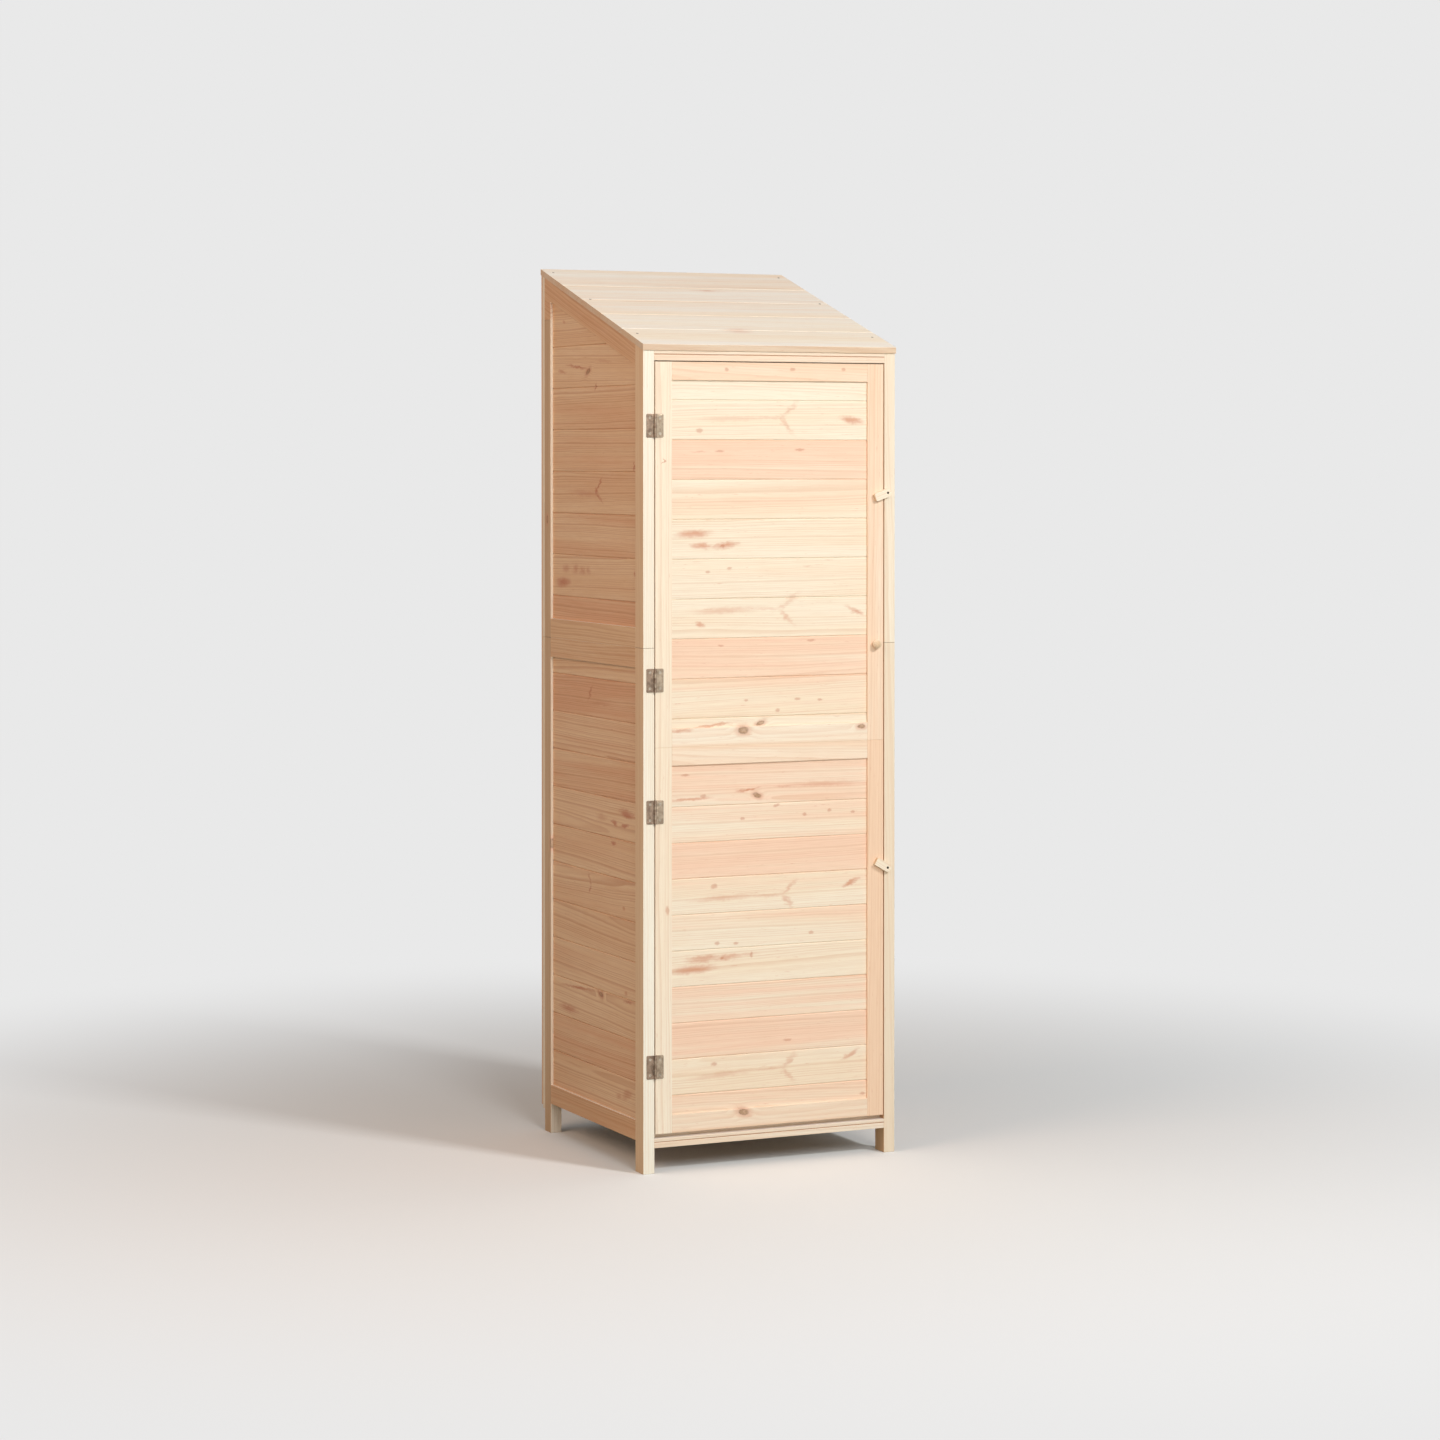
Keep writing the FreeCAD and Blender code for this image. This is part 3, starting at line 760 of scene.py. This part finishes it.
DOOR_KNOTS = listed(
    Mark.KNOT,
    (-95.2, 1549.3, 4.5, 3.6), (46.8, 1550.9, 6, 3.2), (158.8, 1552.1, 4, 3),
    (-151.5, 1431, 6.8, 4.2), (-108.5, 1391, 9, 2.2), (64.5, 1394, 10, 2.4),
    (-102.5, 1207, 4.5, 3), (-134.5, 1157, 5, 2.6), (-87.5, 1164, 5, 2.2), (-106.5, 1014, 6, 2),
    (89.5, 1020, 9, 2.2), (-52.5, 906.6, 4.5, 2.4), (16.5, 885, 4.6, 3.6), (59.5, 906, 6, 2.4),
    (107.5, 903, 5, 2.2), (-59.9, 848.4, 10.5, 7.2), (-21.2, 860.8, 9, 4, 16),
    (198.5, 848, 8, 4.1), (-28.1, 720.4, 8.5, 4.6, -18), (-143.5, 723, 6, 3.4),
    (13.5, 699, 6.5, 2.8, 16), (74.5, 679, 4.4, 3), (129.5, 685, 4.2, 2.8),
    (181.5, 680, 4.4, 2.8), (-59.5, 676, 4.6, 3), (-182.5, 765, 8, 2.4),
    (-120.5, 547, 6.5, 4.5, 20), (-114.5, 436, 5, 3.2), (-74.5, 434, 5.5, 2.6), (89.5, 446, 5, 3),
    (-103.5, 407, 4, 2.8), (-40.5, 410, 2.4, 6), (37.5, 238, 9, 2.4), (-120.5, 202, 6, 3.6),
    (-59.5, 104.5, 11, 6, -14), (202.5, 120.5, 6, 2.6), (-221.4, 506, 3.4, 8),
) + listed(
    Mark.FLUSH,
    (177.5, 1453, 26, 7.5, -8), (-165.5, 1231, 38, 8, 2), (-145.5, 1207, 25, 6.5, -4),
    (-97.5, 1208, 28, 7, 5), (-148.5, 1056, 9, 5, -20), (182.5, 1078, 22, 5, -25),
    (-194.5, 851, 26, 4, 4), (-120.5, 860, 50, 2.6, 6), (-48.5, 732, 26, 2.6, 8),
    (-174.5, 718, 46, 3, 3), (175.5, 540, 22, 5, 22), (-166.5, 388, 50, 8.5, 2),
    (-144.5, 408, 34, 7, 3), (-94.5, 408, 26, 6.5, 4), (175.5, 200, 22, 5, 24),
    (-230.5, 1372, 2.4, 5),
) + listed(
    Mark.STREAK,
    (26.5, 1457, 7, 5), (43.5, 1474, 20, 5, 38), (35.5, 1441, 20, 5, -48), (-2.5, 1457, 30, 3),
    (-80.5, 1455, 60, 5, 1), (-150.5, 1390, 14, 1.6), (81.5, 1165, 10, 1.8), (26.5, 1086, 7, 5),
    (44.5, 1101, 21, 5, 38), (35.5, 1067, 20, 5, -46), (-2.5, 1084, 32, 3),
    (-92.5, 1083, 62, 6, 2), (33.5, 736, 20, 2.4, -2), (117.5, 738, 75, 6),
    (39.5, 536, 20, 5, 44), (36.5, 512, 19, 5, -50), (-2.5, 524, 34, 3), (-102.5, 524, 60, 5, 2),
    (-52.5, 411, 26, 3.4, 4), (39.5, 196, 20, 5, 44), (36.5, 173, 19, 5, -48), (-2.5, 184, 30, 3),
    (-102.5, 180, 60, 5, 3),
)

SIDE_KNOTS = listed(
    Mark.KNOT,
    (159, 1653, 7, 3, 14), (34, 1550, 11, 4.5, -25), (-144, 500, 6, 4), (-154, 336, 7, 4),
    (-30, 317, 9, 4, 8),
) + listed(
    Mark.FLUSH,
    (165, 1552, 24, 3.4, 6), (90, 1560, 60, 3, 6), (-4, 1519, 4, 9), (-8, 1311, 9, 7),
    (-22, 1326, 20, 3.6, -45), (-23, 1299, 19, 3.6, 36), (-196, 1361, 5, 9), (-204, 1152, 9, 8),
    (164, 1127, 38, 11, -4), (24, 909, 20, 4.4, -58), (-158, 686, 38, 8.5, 5),
    (-98, 663, 16, 5.5, 8), (-149, 661, 20, 4, -8), (-93, 623, 16, 4), (27, 538, 13, 4, 60),
    (26, 520, 10, 4, -40), (86, 315, 95, 3, -3), (-166, 320, 24, 3.6, -2), (135, 266, 46, 8),
    (-158, 138, 26, 9, -20), (-120, 130, 14, 6),
) + listed(
    Mark.STREAK,
    (-46, 1569, 34, 2.6, 5), (56, 1308, 60, 6, 2), (149, 1155, 17, 8), (99, 1155, 14, 9),
    (64, 1152, 14, 8), (32, 1153, 11, 7), (-30, 893, 50, 4, -3), (-33, 668, 22, 6),
)

ROOF_KNOTS = listed(
    Mark.KNOT,
    (39, 129, 9, 2),
) + listed(
    Mark.STREAK,
    (39, 129, 30, 4), (-26, -155, 26, 15),
)

FRAME_FIR = FirFinish("frame fir", Slot.FRAME, (247, 240, 226), (245, 233, 213), (243, 215, 190),
                      ring_pitch=5.0 * MM, ring_strength=0.2, streaks=0.5, strewn=0.05)
# The front rails' paler edge colour is painted light on the sill's top and the header's underside
# in the door's gaps; their groove colour is painted shade in the grooves.
RAIL_FIR = replace(FRAME_FIR, name="front rail fir, painted light and shade", edge=(250, 246, 238), groove=(205, 172, 152))
# Posts and the sides' stiles, rails and boards take darker, warmer copies of the fir: painted
# shade on their planed side faces. The paler edge colours of posts, stiles and rails are painted
# light on their front faces, reveals and ledges, and the dark end-grain colour of posts and stiles
# paints the shade in the seams between tiers.
LIT_AND_SHADED_POST_FIR = replace(FRAME_FIR, name="post fir, painted light and shade", pale=(237, 209, 176), cream=(232, 200, 165),
                   pink=(226, 188, 150), strewn=0.03, edge=(248, 243, 229), end_tone_and_seam_shade=(132, 112, 86),
                   end_tone_and_seam_shade_share=2.2)
LIT_AND_SHADED_SIDE_FRAME_FIR = replace(LIT_AND_SHADED_POST_FIR, name="side frame fir, painted light and shade", pale=(214, 184, 150),
                         cream=(204, 172, 138), pink=(196, 158, 124), late=(170, 124, 88),
                         ring_strength=0.3, streaks=0.6, strewn=0.05, edge=(250, 243, 230))
LIT_AND_SHADED_SIDE_RAIL_FIR = FirFinish("side rail fir, painted light and shade", Slot.FRAME, (234, 200, 162), (226, 186, 146),
                          (220, 170, 130), late=(182, 122, 84), ring_pitch=4.4 * MM,
                          strewn=0.03, edge=(250, 243, 230), end_tone_and_seam_shade_share=0.0)
SHADED_SIDE_FIR = FirFinish("side board fir, painted shade", Slot.BOARDS, (241, 209, 174), (234, 196, 158),
                     (228, 178, 141), late=(188, 126, 88), flush=(188, 110, 80),
                     rim=(128, 70, 44), ring_strength=0.5, knots=SIDE_KNOTS, face_axes=(1, 2))
INNER_FIR = FirFinish("inner board fir", Slot.BOARDS, (244, 222, 194), (238, 210, 178),
                      (232, 194, 162), strewn=0.16)
# The floor's paler edge colour is painted light on the boards' front edge, seen in the shaded gap
# under the door.
FLOOR_FIR = replace(INNER_FIR, name="floor fir, painted light", edge=(248, 240, 226))
ROOF_FIR = FirFinish("roof fir", Slot.ROOF, (250, 250, 243), (250, 243, 226), (247, 228, 208),
                     ring_strength=0.24, streaks=0.8, knots=ROOF_KNOTS, face_axes=(0, 1),
                     edge=(225, 201, 172), end_tone_and_seam_shade_share=0.0)
DOOR_FRAME_FIR = FirFinish("door frame fir", Slot.DOOR_FRAME, (253, 247, 233), (252, 241, 222),
                           (248, 219, 193), ring_pitch=5.5 * MM, ring_strength=0.2,
                           streaks=0.7)
DOOR_FIR = FirFinish("door board fir", Slot.DOOR_BOARDS, (251, 243, 226), (251, 237, 215),
                     (252, 220, 198), ring_strength=0.26)
TURNED_FIR = FirFinish("turned fir", Slot.TURNED, (253, 246, 230), (251, 240, 220),
                       (247, 230, 206), ring_pitch=2.2 * MM, ring_strength=0.24)
BUTTON_FIR = FirFinish("button fir", Slot.BUTTON, (253, 246, 230), (250, 240, 220),
                       (246, 230, 206), ring_pitch=2.6 * MM, ring_strength=0.22)
HINGE_STEEL = SteelFinish("hinge zinc", Slot.HINGE, (174, 158, 138), (140, 124, 106), 0.46)
# The frame leaves take a darker copy of the hinge zinc: painted shade.
SHADED_LEAF_STEEL = SteelFinish("frame leaf zinc, painted shade", Slot.HINGE, (158, 138, 120), (126, 108, 93), 0.48)
SCREW_STEEL = SteelFinish("screw zinc", Slot.SCREW, (196, 186, 170), (160, 148, 130), 0.38)
NAIL_STEEL = SteelFinish("nail steel", Slot.SCREW, (138, 128, 112), (104, 96, 84), 0.5)
# The turn buttons' screws are near black: painted shade of the screw holes.
BUTTON_SCREW_STEEL = SteelFinish("dark button screw, painted hole shade", Slot.SCREW, (72, 62, 48), (48, 40, 30), 0.52)


def lathe(name: str, rings: tuple[tuple[float, float], ...], sides: int) -> Object:
    """Turn a solid of (radius, height) rings about the Z axis, from its foot to its head.

    Args:
        name: The piece's name.
        rings: Radius and height of each ring, in millimetres, from the lowest.
        sides: Number of sides of each ring.

    Returns:
        The turned piece, standing at the origin.
    """
    bpy.ops.object.select_all(action="DESELECT")
    (radius, height), *others = rings
    bpy.ops.mesh.primitive_circle_add(vertices=sides, radius=radius * MM,
                                      fill_type="NGON", location=(0, 0, 0))
    piece = bpy.context.object
    piece.name = name
    bpy.ops.object.mode_set(mode="EDIT")
    bpy.ops.mesh.select_all(action="SELECT")
    bpy.ops.transform.translate(value=(0, 0, height * MM))
    for wider, higher in others:
        rise = (0, 0, (higher - height) * MM)
        bpy.ops.mesh.extrude_region_move(TRANSFORM_OT_translate={"value": rise})
        bpy.ops.transform.resize(value=(wider / radius, wider / radius, 1),
                                 center_override=(0, 0, higher * MM))
        radius, height = wider, higher
    bpy.ops.mesh.select_all(action="SELECT")
    bpy.ops.mesh.normals_make_consistent(inside=False)
    bpy.ops.object.mode_set(mode="OBJECT")
    return piece


def smooth(piece: Object, angle: float = 34.0) -> None:
    """Shade a piece smoothly, but for its edges over an angle in degrees."""
    activate(piece)
    bpy.ops.object.shade_smooth_by_angle(angle=math.radians(angle))


@dataclass(frozen=True)
class Seat:
    """Where a fastener sits: its head's middle, the way in, its head's radius and its length."""

    place: Vector
    into: Vector
    radius: float
    length: float


def seats(node: str, axis: Vector) -> list[Seat]:
    """Read the seat of every fastener of a node off its solids.

    Args:
        node: The node's name.
        axis: The line that its fasteners lie along, either way.

    Returns:
        One seat for each fastener.
    """
    mesh = bmesh.new()
    mesh.from_mesh(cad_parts[node].data)
    bmesh.ops.remove_doubles(mesh, verts=mesh.verts, dist=MERGED)
    found = []
    for faces in flood(mesh, closed_only=False):
        points = [vertex.co.copy() for vertex in {v for face in faces for v in face.verts}]
        reaches = [point.dot(axis) for point in points]
        ends = []
        for end in (min(reaches), max(reaches)):
            ring = [point for point in points if abs(point.dot(axis) - end) < 0.02 * MM]
            middle = sum(ring, Vector()) / len(ring)
            ends.append((max((point - middle).length for point in ring), middle))
        (radius, head), (_, tip) = sorted(ends, key=lambda end: -end[0])
        found.append(Seat(head, (tip - head).normalized(), radius, (tip - head).length))
    mesh.free()
    found.sort(key=lambda seat: tuple(round(value, 4) for value in seat.place))
    return found


@dataclass(frozen=True)
class Fastener:
    """A screw or nail of one node, modelled once and set in every seat. Lengths in millimetres."""

    node: str
    axis: Vector
    finish: SteelFinish
    body: Body = Body.CABINET
    neck: float = 1.2
    shank: float = 1.5
    dome: float = 0.0
    recess: float = 0.62
    taper: tuple[float, float, float] = (0.3, 0.6, 1.0)

    def cut_recess(self, piece: Object, head: float) -> None:
        """Press a cross recess into the head.

        Args:
            piece: The fastener, its head's face at z = 0.
            head: Radius of the head in metres.
        """
        reach = self.recess * head
        arm = (2 * reach, 0.42 * reach, self.neck * 1.3 * MM)
        for quarter in (0.0, math.pi / 2):
            bpy.ops.object.select_all(action="DESELECT")
            bpy.ops.mesh.primitive_cube_add(size=1.0, location=(0, 0, 0))
            cutter = bpy.context.object
            bpy.ops.object.mode_set(mode="EDIT")
            bpy.ops.mesh.select_all(action="SELECT")
            bpy.ops.transform.resize(value=arm, center_override=(0, 0, 0))
            bpy.ops.object.mode_set(mode="OBJECT")
            for vertex in cutter.data.vertices:
                vertex.select = vertex.co.z < 0
            for part in (*cutter.data.edges, *cutter.data.polygons):
                part.select = all(cutter.data.vertices[v].select for v in part.vertices)
            bpy.ops.object.mode_set(mode="EDIT")
            bpy.ops.transform.resize(value=self.taper, center_override=(0, 0, 0))
            bpy.ops.mesh.select_all(action="SELECT")
            bpy.ops.object.mode_set(mode="OBJECT")
            cutter.data.transform(Matrix.Rotation(quarter, 4, "Z"))
            activate(piece)
            cut = piece.modifiers.new("recess", "BOOLEAN")
            cut.operation = "DIFFERENCE"
            cut.solver = "EXACT"
            cut.object = cutter
            bpy.ops.object.modifier_apply(modifier=cut.name)
            bpy.data.objects.remove(cutter, do_unlink=True)

    def model(self, seat: Seat) -> Object:
        """Model the fastener pointing down, its head's face at z = 0.

        Args:
            seat: A seat whose size it takes.

        Returns:
            The fastener.
        """
        head, length = seat.radius / MM, seat.length / MM
        rings = [(0.2, -length), (self.shank, 1.6 * self.shank - length),
                 (self.shank, -self.neck), (head, -0.15), (head * 0.96, 0.0)]
        if self.dome:
            rings += [(head * 0.72, self.dome * 0.7), (head * 0.34, self.dome)]
        piece = lathe(f"set_{self.node}", tuple(rings), sides=24)
        if self.recess:
            self.cut_recess(piece, seat.radius)
        return piece

    def build(self) -> None:
        """Set a copy in each seat and join the copies as one piece."""
        places = seats(self.node, self.axis)
        first = self.model(places[0])
        copies = [first] + [add(first.name, first.data.copy()) for _ in places[1:]]
        for number, (copy, seat) in enumerate(zip(copies, places)):
            turn = random.Random(f"{self.node}:{number}").uniform(0.0, math.pi / 2)
            face = DOWNWARD.rotation_difference(seat.into).to_matrix().to_4x4()
            copy.data.transform(Matrix.Translation(seat.place) @ face
                                @ Matrix.Rotation(turn, 4, "Z"))
        activate(first)
        for copy in copies:
            copy.select_set(True)
        if len(copies) > 1:
            bpy.ops.object.join()
        smooth(first)
        bind(first, self.node, self.body, self.finish)


@dataclass
class Knob:
    """Round knob of the door, turned with a tenon. Lengths in millimetres."""

    node: str = "door_knob"
    stand: float = 15
    rings: tuple[tuple[float, float], ...] = (
        (3.4, -9.0), (4.0, -8.4), (4.0, 0.0), (6.3, 0.0), (6.4, 0.4), (6.15, 1.6), (6.3, 2.8),
        (7.1, 4.1), (8.1, 5.4), (8.6, 6.6), (8.72, 8.0), (8.5, 9.6), (7.9, 11.2), (6.9, 12.6),
        (5.4, 13.8), (3.6, 14.6), (1.6, 14.95),
    )

    def build(self) -> None:
        """Turn the knob, stand it on the stile's face and dress it."""
        low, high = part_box(self.node)
        piece = lathe("turned_knob", self.rings, sides=64)
        foot = Vector(((low.x + high.x) / 2, low.y + self.stand * MM, (low.z + high.z) / 2))
        piece.data.transform(Matrix.Translation(foot) @ Matrix.Rotation(math.pi / 2, 4, "X"))
        smooth(piece, angle=50.0)
        Timber(self.node, TURNED_FIR, run=INWARD, face=RIGHT, tints=(0.5,)).tag(piece)
        bind(piece, self.node, Body.DOOR, TURNED_FIR)


@dataclass
class TurnButtons:
    """Two wooden turn buttons, each on a screw in the right post."""

    tilts: dict[Body, float] = field(default_factory=lambda: {Body.UPPER_BUTTON: 20.0,
                                                              Body.LOWER_BUTTON: -30.0})

    def build(self) -> None:
        """Dress both buttons along their own grain and set their screws."""
        for body, tilt in self.tilts.items():
            run = Vector((math.cos(math.radians(tilt)), 0, math.sin(math.radians(tilt))))
            Timber(body.value.replace("button", "turn_button"), BUTTON_FIR, body, run, INWARD,
                   tints=(0.35,), easing=0.8 * MM, shortest=5 * MM).dress()
        Fastener("turn_button_screws", INWARD, BUTTON_SCREW_STEEL, neck=1.5,
                 shank=1.75).build()


@dataclass
class Ironwork:
    """Hinges, joining plates and all their screws."""

    pressed: dict[str, tuple[Body, SteelFinish]] = field(default_factory=lambda: {
        "hinge_frame_leaves": (Body.CABINET, SHADED_LEAF_STEEL),
        "hinge_pins": (Body.CABINET, HINGE_STEEL),
        "hinge_door_leaves": (Body.DOOR, HINGE_STEEL),
        "door_joining_plates": (Body.DOOR, HINGE_STEEL),
    })

    def build(self) -> None:
        """Dress the pressed steel and set the screws."""
        for node, (body, finish) in self.pressed.items():
            piece = copy_node(node, f"pressed_{node}")
            ease(piece, width=0.15 * MM, shortest=1.6 * MM)
            smooth(piece)
            bind(piece, node, body, finish)
        Fastener("hinge_frame_screws", INWARD, SCREW_STEEL).build()
        Fastener("door_screws", INWARD, SCREW_STEEL, Body.DOOR).build()
        Fastener("cleat_screws", RIGHT, SCREW_STEEL).build()


@dataclass
class SidePanel:
    """One side of the cabinet: two tiers of framed boards."""

    side: str
    roof_rise: float
    post_tones: tuple[float, float]

    def build(self) -> None:
        """Dress stiles, rails and boards of both tiers."""
        pitch = Vector((0, math.cos(self.roof_rise), math.sin(self.roof_rise)))
        for tier, post_tone in zip(("lower", "upper"), self.post_tones):
            prefix = f"{self.side}_{tier}_"
            for member, finish in (("front_stile", LIT_AND_SHADED_POST_FIR), ("back_stile", LIT_AND_SHADED_SIDE_FRAME_FIR)):
                Timber(prefix + member, finish, run=UPWARD, face=RIGHT, tints=(post_tone,),
                       series=f"{self.side} {member}").dress()
            for member in ("bottom_rail", "top_rail"):
                slopes = tier == "upper" and member == "top_rail"
                Timber(prefix + member, LIT_AND_SHADED_SIDE_RAIL_FIR, run=pitch if slopes else INWARD,
                       face=RIGHT, spread=0.6).dress()
            Timber(prefix + "boards", SHADED_SIDE_FIR, run=INWARD, face=RIGHT, spread=0.9).dress()


@dataclass
class Carcass:
    """Back, front rails, floor and shelves."""

    frames: tuple[str, ...] = ("back_lower_rails", "back_lower_uprights", "back_upper_rails",
                               "back_upper_uprights", "floor_bearers", "lower_shelf_cleats",
                               "upper_shelf_cleats", "door_stop_rail")
    boards: tuple[str, ...] = ("back_lower_boards", "back_upper_boards", "lower_shelf_boards",
                               "upper_shelf_boards")
    front_rails: dict[str, float] = field(default_factory=lambda: {
        # The front bearer's low tone keeps it paler: painted light on its face, seen in the shaded
        # gap under the door.
        "header_rail": 0.5, "sill_rail": 0.4, "front_bearer": -0.4,
    })

    def build(self) -> None:
        """Dress every plain wooden piece between the sides."""
        for node in self.frames:
            Timber(node, FRAME_FIR, spread=0.8).dress()
        for node in self.boards:
            Timber(node, INNER_FIR).dress()
        Timber("floor_boards", FLOOR_FIR).dress()
        for node, tone in self.front_rails.items():
            Timber(node, RAIL_FIR, face=INWARD, tints=(tone,),
                   easing=0.5 * MM).dress()


@dataclass
class Roof:
    """Boards across the pitch, on two battens, nailed down each side."""

    rise: float
    board_tones: tuple[float, ...] = (-0.35, 0.0, 0.45, 0.5, 0.5)

    def build(self) -> None:
        """Dress the boards and battens and drive the nails."""
        up = Vector((0, -math.sin(self.rise), math.cos(self.rise)))
        slope = Vector((0, math.cos(self.rise), math.sin(self.rise)))
        Timber("roof_boards", ROOF_FIR, run=RIGHT, face=up, tints=self.board_tones).dress()
        Timber("roof_battens", FRAME_FIR, run=slope, face=up).dress()
        Fastener("roof_nails", up, NAIL_STEEL, neck=0.6, shank=1.1, dome=0.4,
                 recess=0.0).build()


@dataclass
class Door:
    """Two boarded half frames that hang as one door."""

    frame_tones: dict[str, dict[str, float]] = field(default_factory=lambda: {
        # The lower right stile's high tone makes it pinker and darker: painted shade over the
        # door's lower right.
        "lower": {"left_stile": -0.2, "right_stile": 1.05, "bottom_rail": 0.66, "top_rail": 0.6},
        "upper": {"left_stile": 0.0, "right_stile": 0.78, "bottom_rail": 0.5, "top_rail": 0.75},
    })
    board_tones: dict[str, tuple[float, ...]] = field(default_factory=lambda: {
        "lower": (0.5, 0.15, 0.85, 0.6, 0.12, 0.4, 0.16, 0.82, 0.5, 0.72),
        "upper": (-0.35, 0.3, 0.72, 0.0, 0.2, -0.4, 0.36, 0.95, 0.08, 0.35),
    })

    def finish_on(self, node: str, finish: FirFinish) -> FirFinish:
        """Give a finish with only the listed knots that lie on a node's face.

        Args:
            node: The node's name.
            finish: The finish, whose own knots are left out.

        Returns:
            The node's own finish.
        """
        low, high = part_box(node)
        held = tuple(
            knot for knot in DOOR_KNOTS
            if low.x < knot.along * MM < high.x and low.z < knot.up * MM < high.z
        )
        return replace(finish, name=f"{finish.name} {node}", knots=held)

    def build(self) -> None:
        """Dress stiles, rails and boards of both halves."""
        for half, tones in self.frame_tones.items():
            for member, tone in tones.items():
                node = f"door_{half}_{member}"
                Timber(node, self.finish_on(node, DOOR_FRAME_FIR), Body.DOOR,
                       UPWARD if "stile" in member else RIGHT, tints=(tone,),
                       series=f"door {member}").dress()
            node = f"door_{half}_boards"
            Timber(node, self.finish_on(node, DOOR_FIR), Body.DOOR, RIGHT, INWARD,
                   tints=self.board_tones[half], fade=0.3).dress()
        Knob().build()


@dataclass(frozen=True)
class Lamp:
    """A square soft lamp: where it hangs, what it points at, its side, watts and colour."""

    name: str
    place: Vector
    target: Vector
    size: float
    power: float
    colour: Colour

    def hang(self) -> None:
        """Hang the lamp where the camera doesn't see it."""
        data = bpy.data.lights.new(self.name, "AREA")
        data.size = self.size
        data.energy = self.power
        data.color = linear(self.colour)[:3]
        lamp = add(self.name, data)
        lamp.location = self.place
        lamp.rotation_euler = (self.target - self.place).to_track_quat("-Z", "Y").to_euler()
        lamp.visible_camera = False


MIDDLE = Vector((0.0, 0.0, 0.95))
LAMPS = (
    Lamp("key", Vector((1.9, -4.2, 4.0)), MIDDLE, 0.7, 134.0, (255, 252, 247)),
    Lamp("front fill", Vector((-0.98, -7.1, 4.1)), MIDDLE, 2.2, 150.0, (255, 252, 248)),
    Lamp("low fill", Vector((-0.7, -6.4, 0.4)), MIDDLE, 1.6, 45.0, (255, 251, 245)),
    Lamp("side fill", Vector((-3.2, -1.0, 2.9)), Vector((0, 0, 1.35)), 1.8, 43.0,
         (255, 211, 175)),
)


@dataclass
class Studio:
    """Camera, lamps, floor and surroundings."""

    lamps: tuple[Lamp, ...] = LAMPS
    camera_place: tuple[float, float, float] = (-3.0201, -6.49225, 1.375)
    camera_turn: tuple[float, float, float] = (89.25, 0.0, -25.0)
    lens: float = 88.885
    rise: float = -214 / 1440
    floor_size: float = 60.0
    floor_colour: Colour = (244, 249, 254)
    floor_bounce: Colour = (176, 176, 164)
    sky_colour: Colour = (233, 233, 233)
    fill_colour: Colour = (255, 248, 240)
    fill: float = 0.27
    lit_reach: float = 0.5
    fade_reach: float = 2.7

    def camera(self) -> None:
        """Set the camera at the photographed angle."""
        data = bpy.data.cameras.new("camera")
        data.lens = self.lens
        data.shift_y = self.rise
        camera = add("camera", data)
        camera.location = self.camera_place
        camera.rotation_euler = [math.radians(turn) for turn in self.camera_turn]
        bpy.context.scene.camera = camera

    def surroundings(self) -> None:
        """Light from all around, and a pale backdrop that only the view and gloss see."""
        bpy.context.scene.world = bpy.data.worlds.new("surroundings")
        graph = Graph(bpy.context.scene.world)
        fill, backdrop = (
            graph.node("ShaderNodeBackground", {"Color": linear(colour), "Strength": strength})
            for colour, strength in ((self.fill_colour, self.fill), (self.sky_colour, 1.0))
        )
        mixed = graph.mix(graph.seen(), fill.outputs[0], backdrop.outputs[0])
        graph.node("ShaderNodeOutputWorld", {"Surface": mixed})

    def floor(self) -> None:
        """Lay a wide pale floor that fades into the backdrop and throws little light back."""
        bpy.ops.object.select_all(action="DESELECT")
        bpy.ops.mesh.primitive_plane_add(size=self.floor_size, location=(0, 0, 0))
        floor = bpy.context.object
        floor.name = "floor"
        graph = Graph(bpy.data.materials.new("pale floor"))
        seen = graph.seen()
        colour = graph.blend(seen, linear(self.floor_bounce), linear(self.floor_colour))
        matt = graph.node("ShaderNodeBsdfDiffuse", {"Color": colour})
        plain = graph.node("ShaderNodeEmission", {"Color": linear(self.sky_colour)})
        where = graph.node("ShaderNodeTexCoord").outputs["Object"]
        far = graph.spread(graph.length(where), self.lit_reach, self.fade_reach, 0.0, 1.0)
        share = graph.maths("MULTIPLY", seen, far)
        mixed = graph.mix(share, matt.outputs[0], plain.outputs[0])
        graph.node("ShaderNodeOutputMaterial", {"Surface": mixed})
        floor.data.materials.append(graph.owner)

    def build(self) -> None:
        """Set up camera, lamps, surroundings and floor."""
        bpy.context.scene.view_settings.view_transform = "Standard"
        self.camera()
        for lamp in self.lamps:
            lamp.hang()
        self.surroundings()
        self.floor()


def main() -> None:
    """Dress the cabinet piece by piece."""
    logging.basicConfig(level=logging.INFO, format="%(name)s: %(message)s")
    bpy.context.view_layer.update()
    low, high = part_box("roof_boards")
    roof_rise = math.atan2(ROOF_BACK - ROOF_FRONT, high.y - low.y)
    for side, post_tones in (("left", (0.0, 0.15)), ("right", (0.95, 0.75))):
        SidePanel(side, roof_rise, post_tones).build()
    Carcass().build()
    Roof(roof_rise).build()
    Door().build()
    TurnButtons().build()
    Ironwork().build()
    Studio().build()


if __name__ == "__main__":
    main()
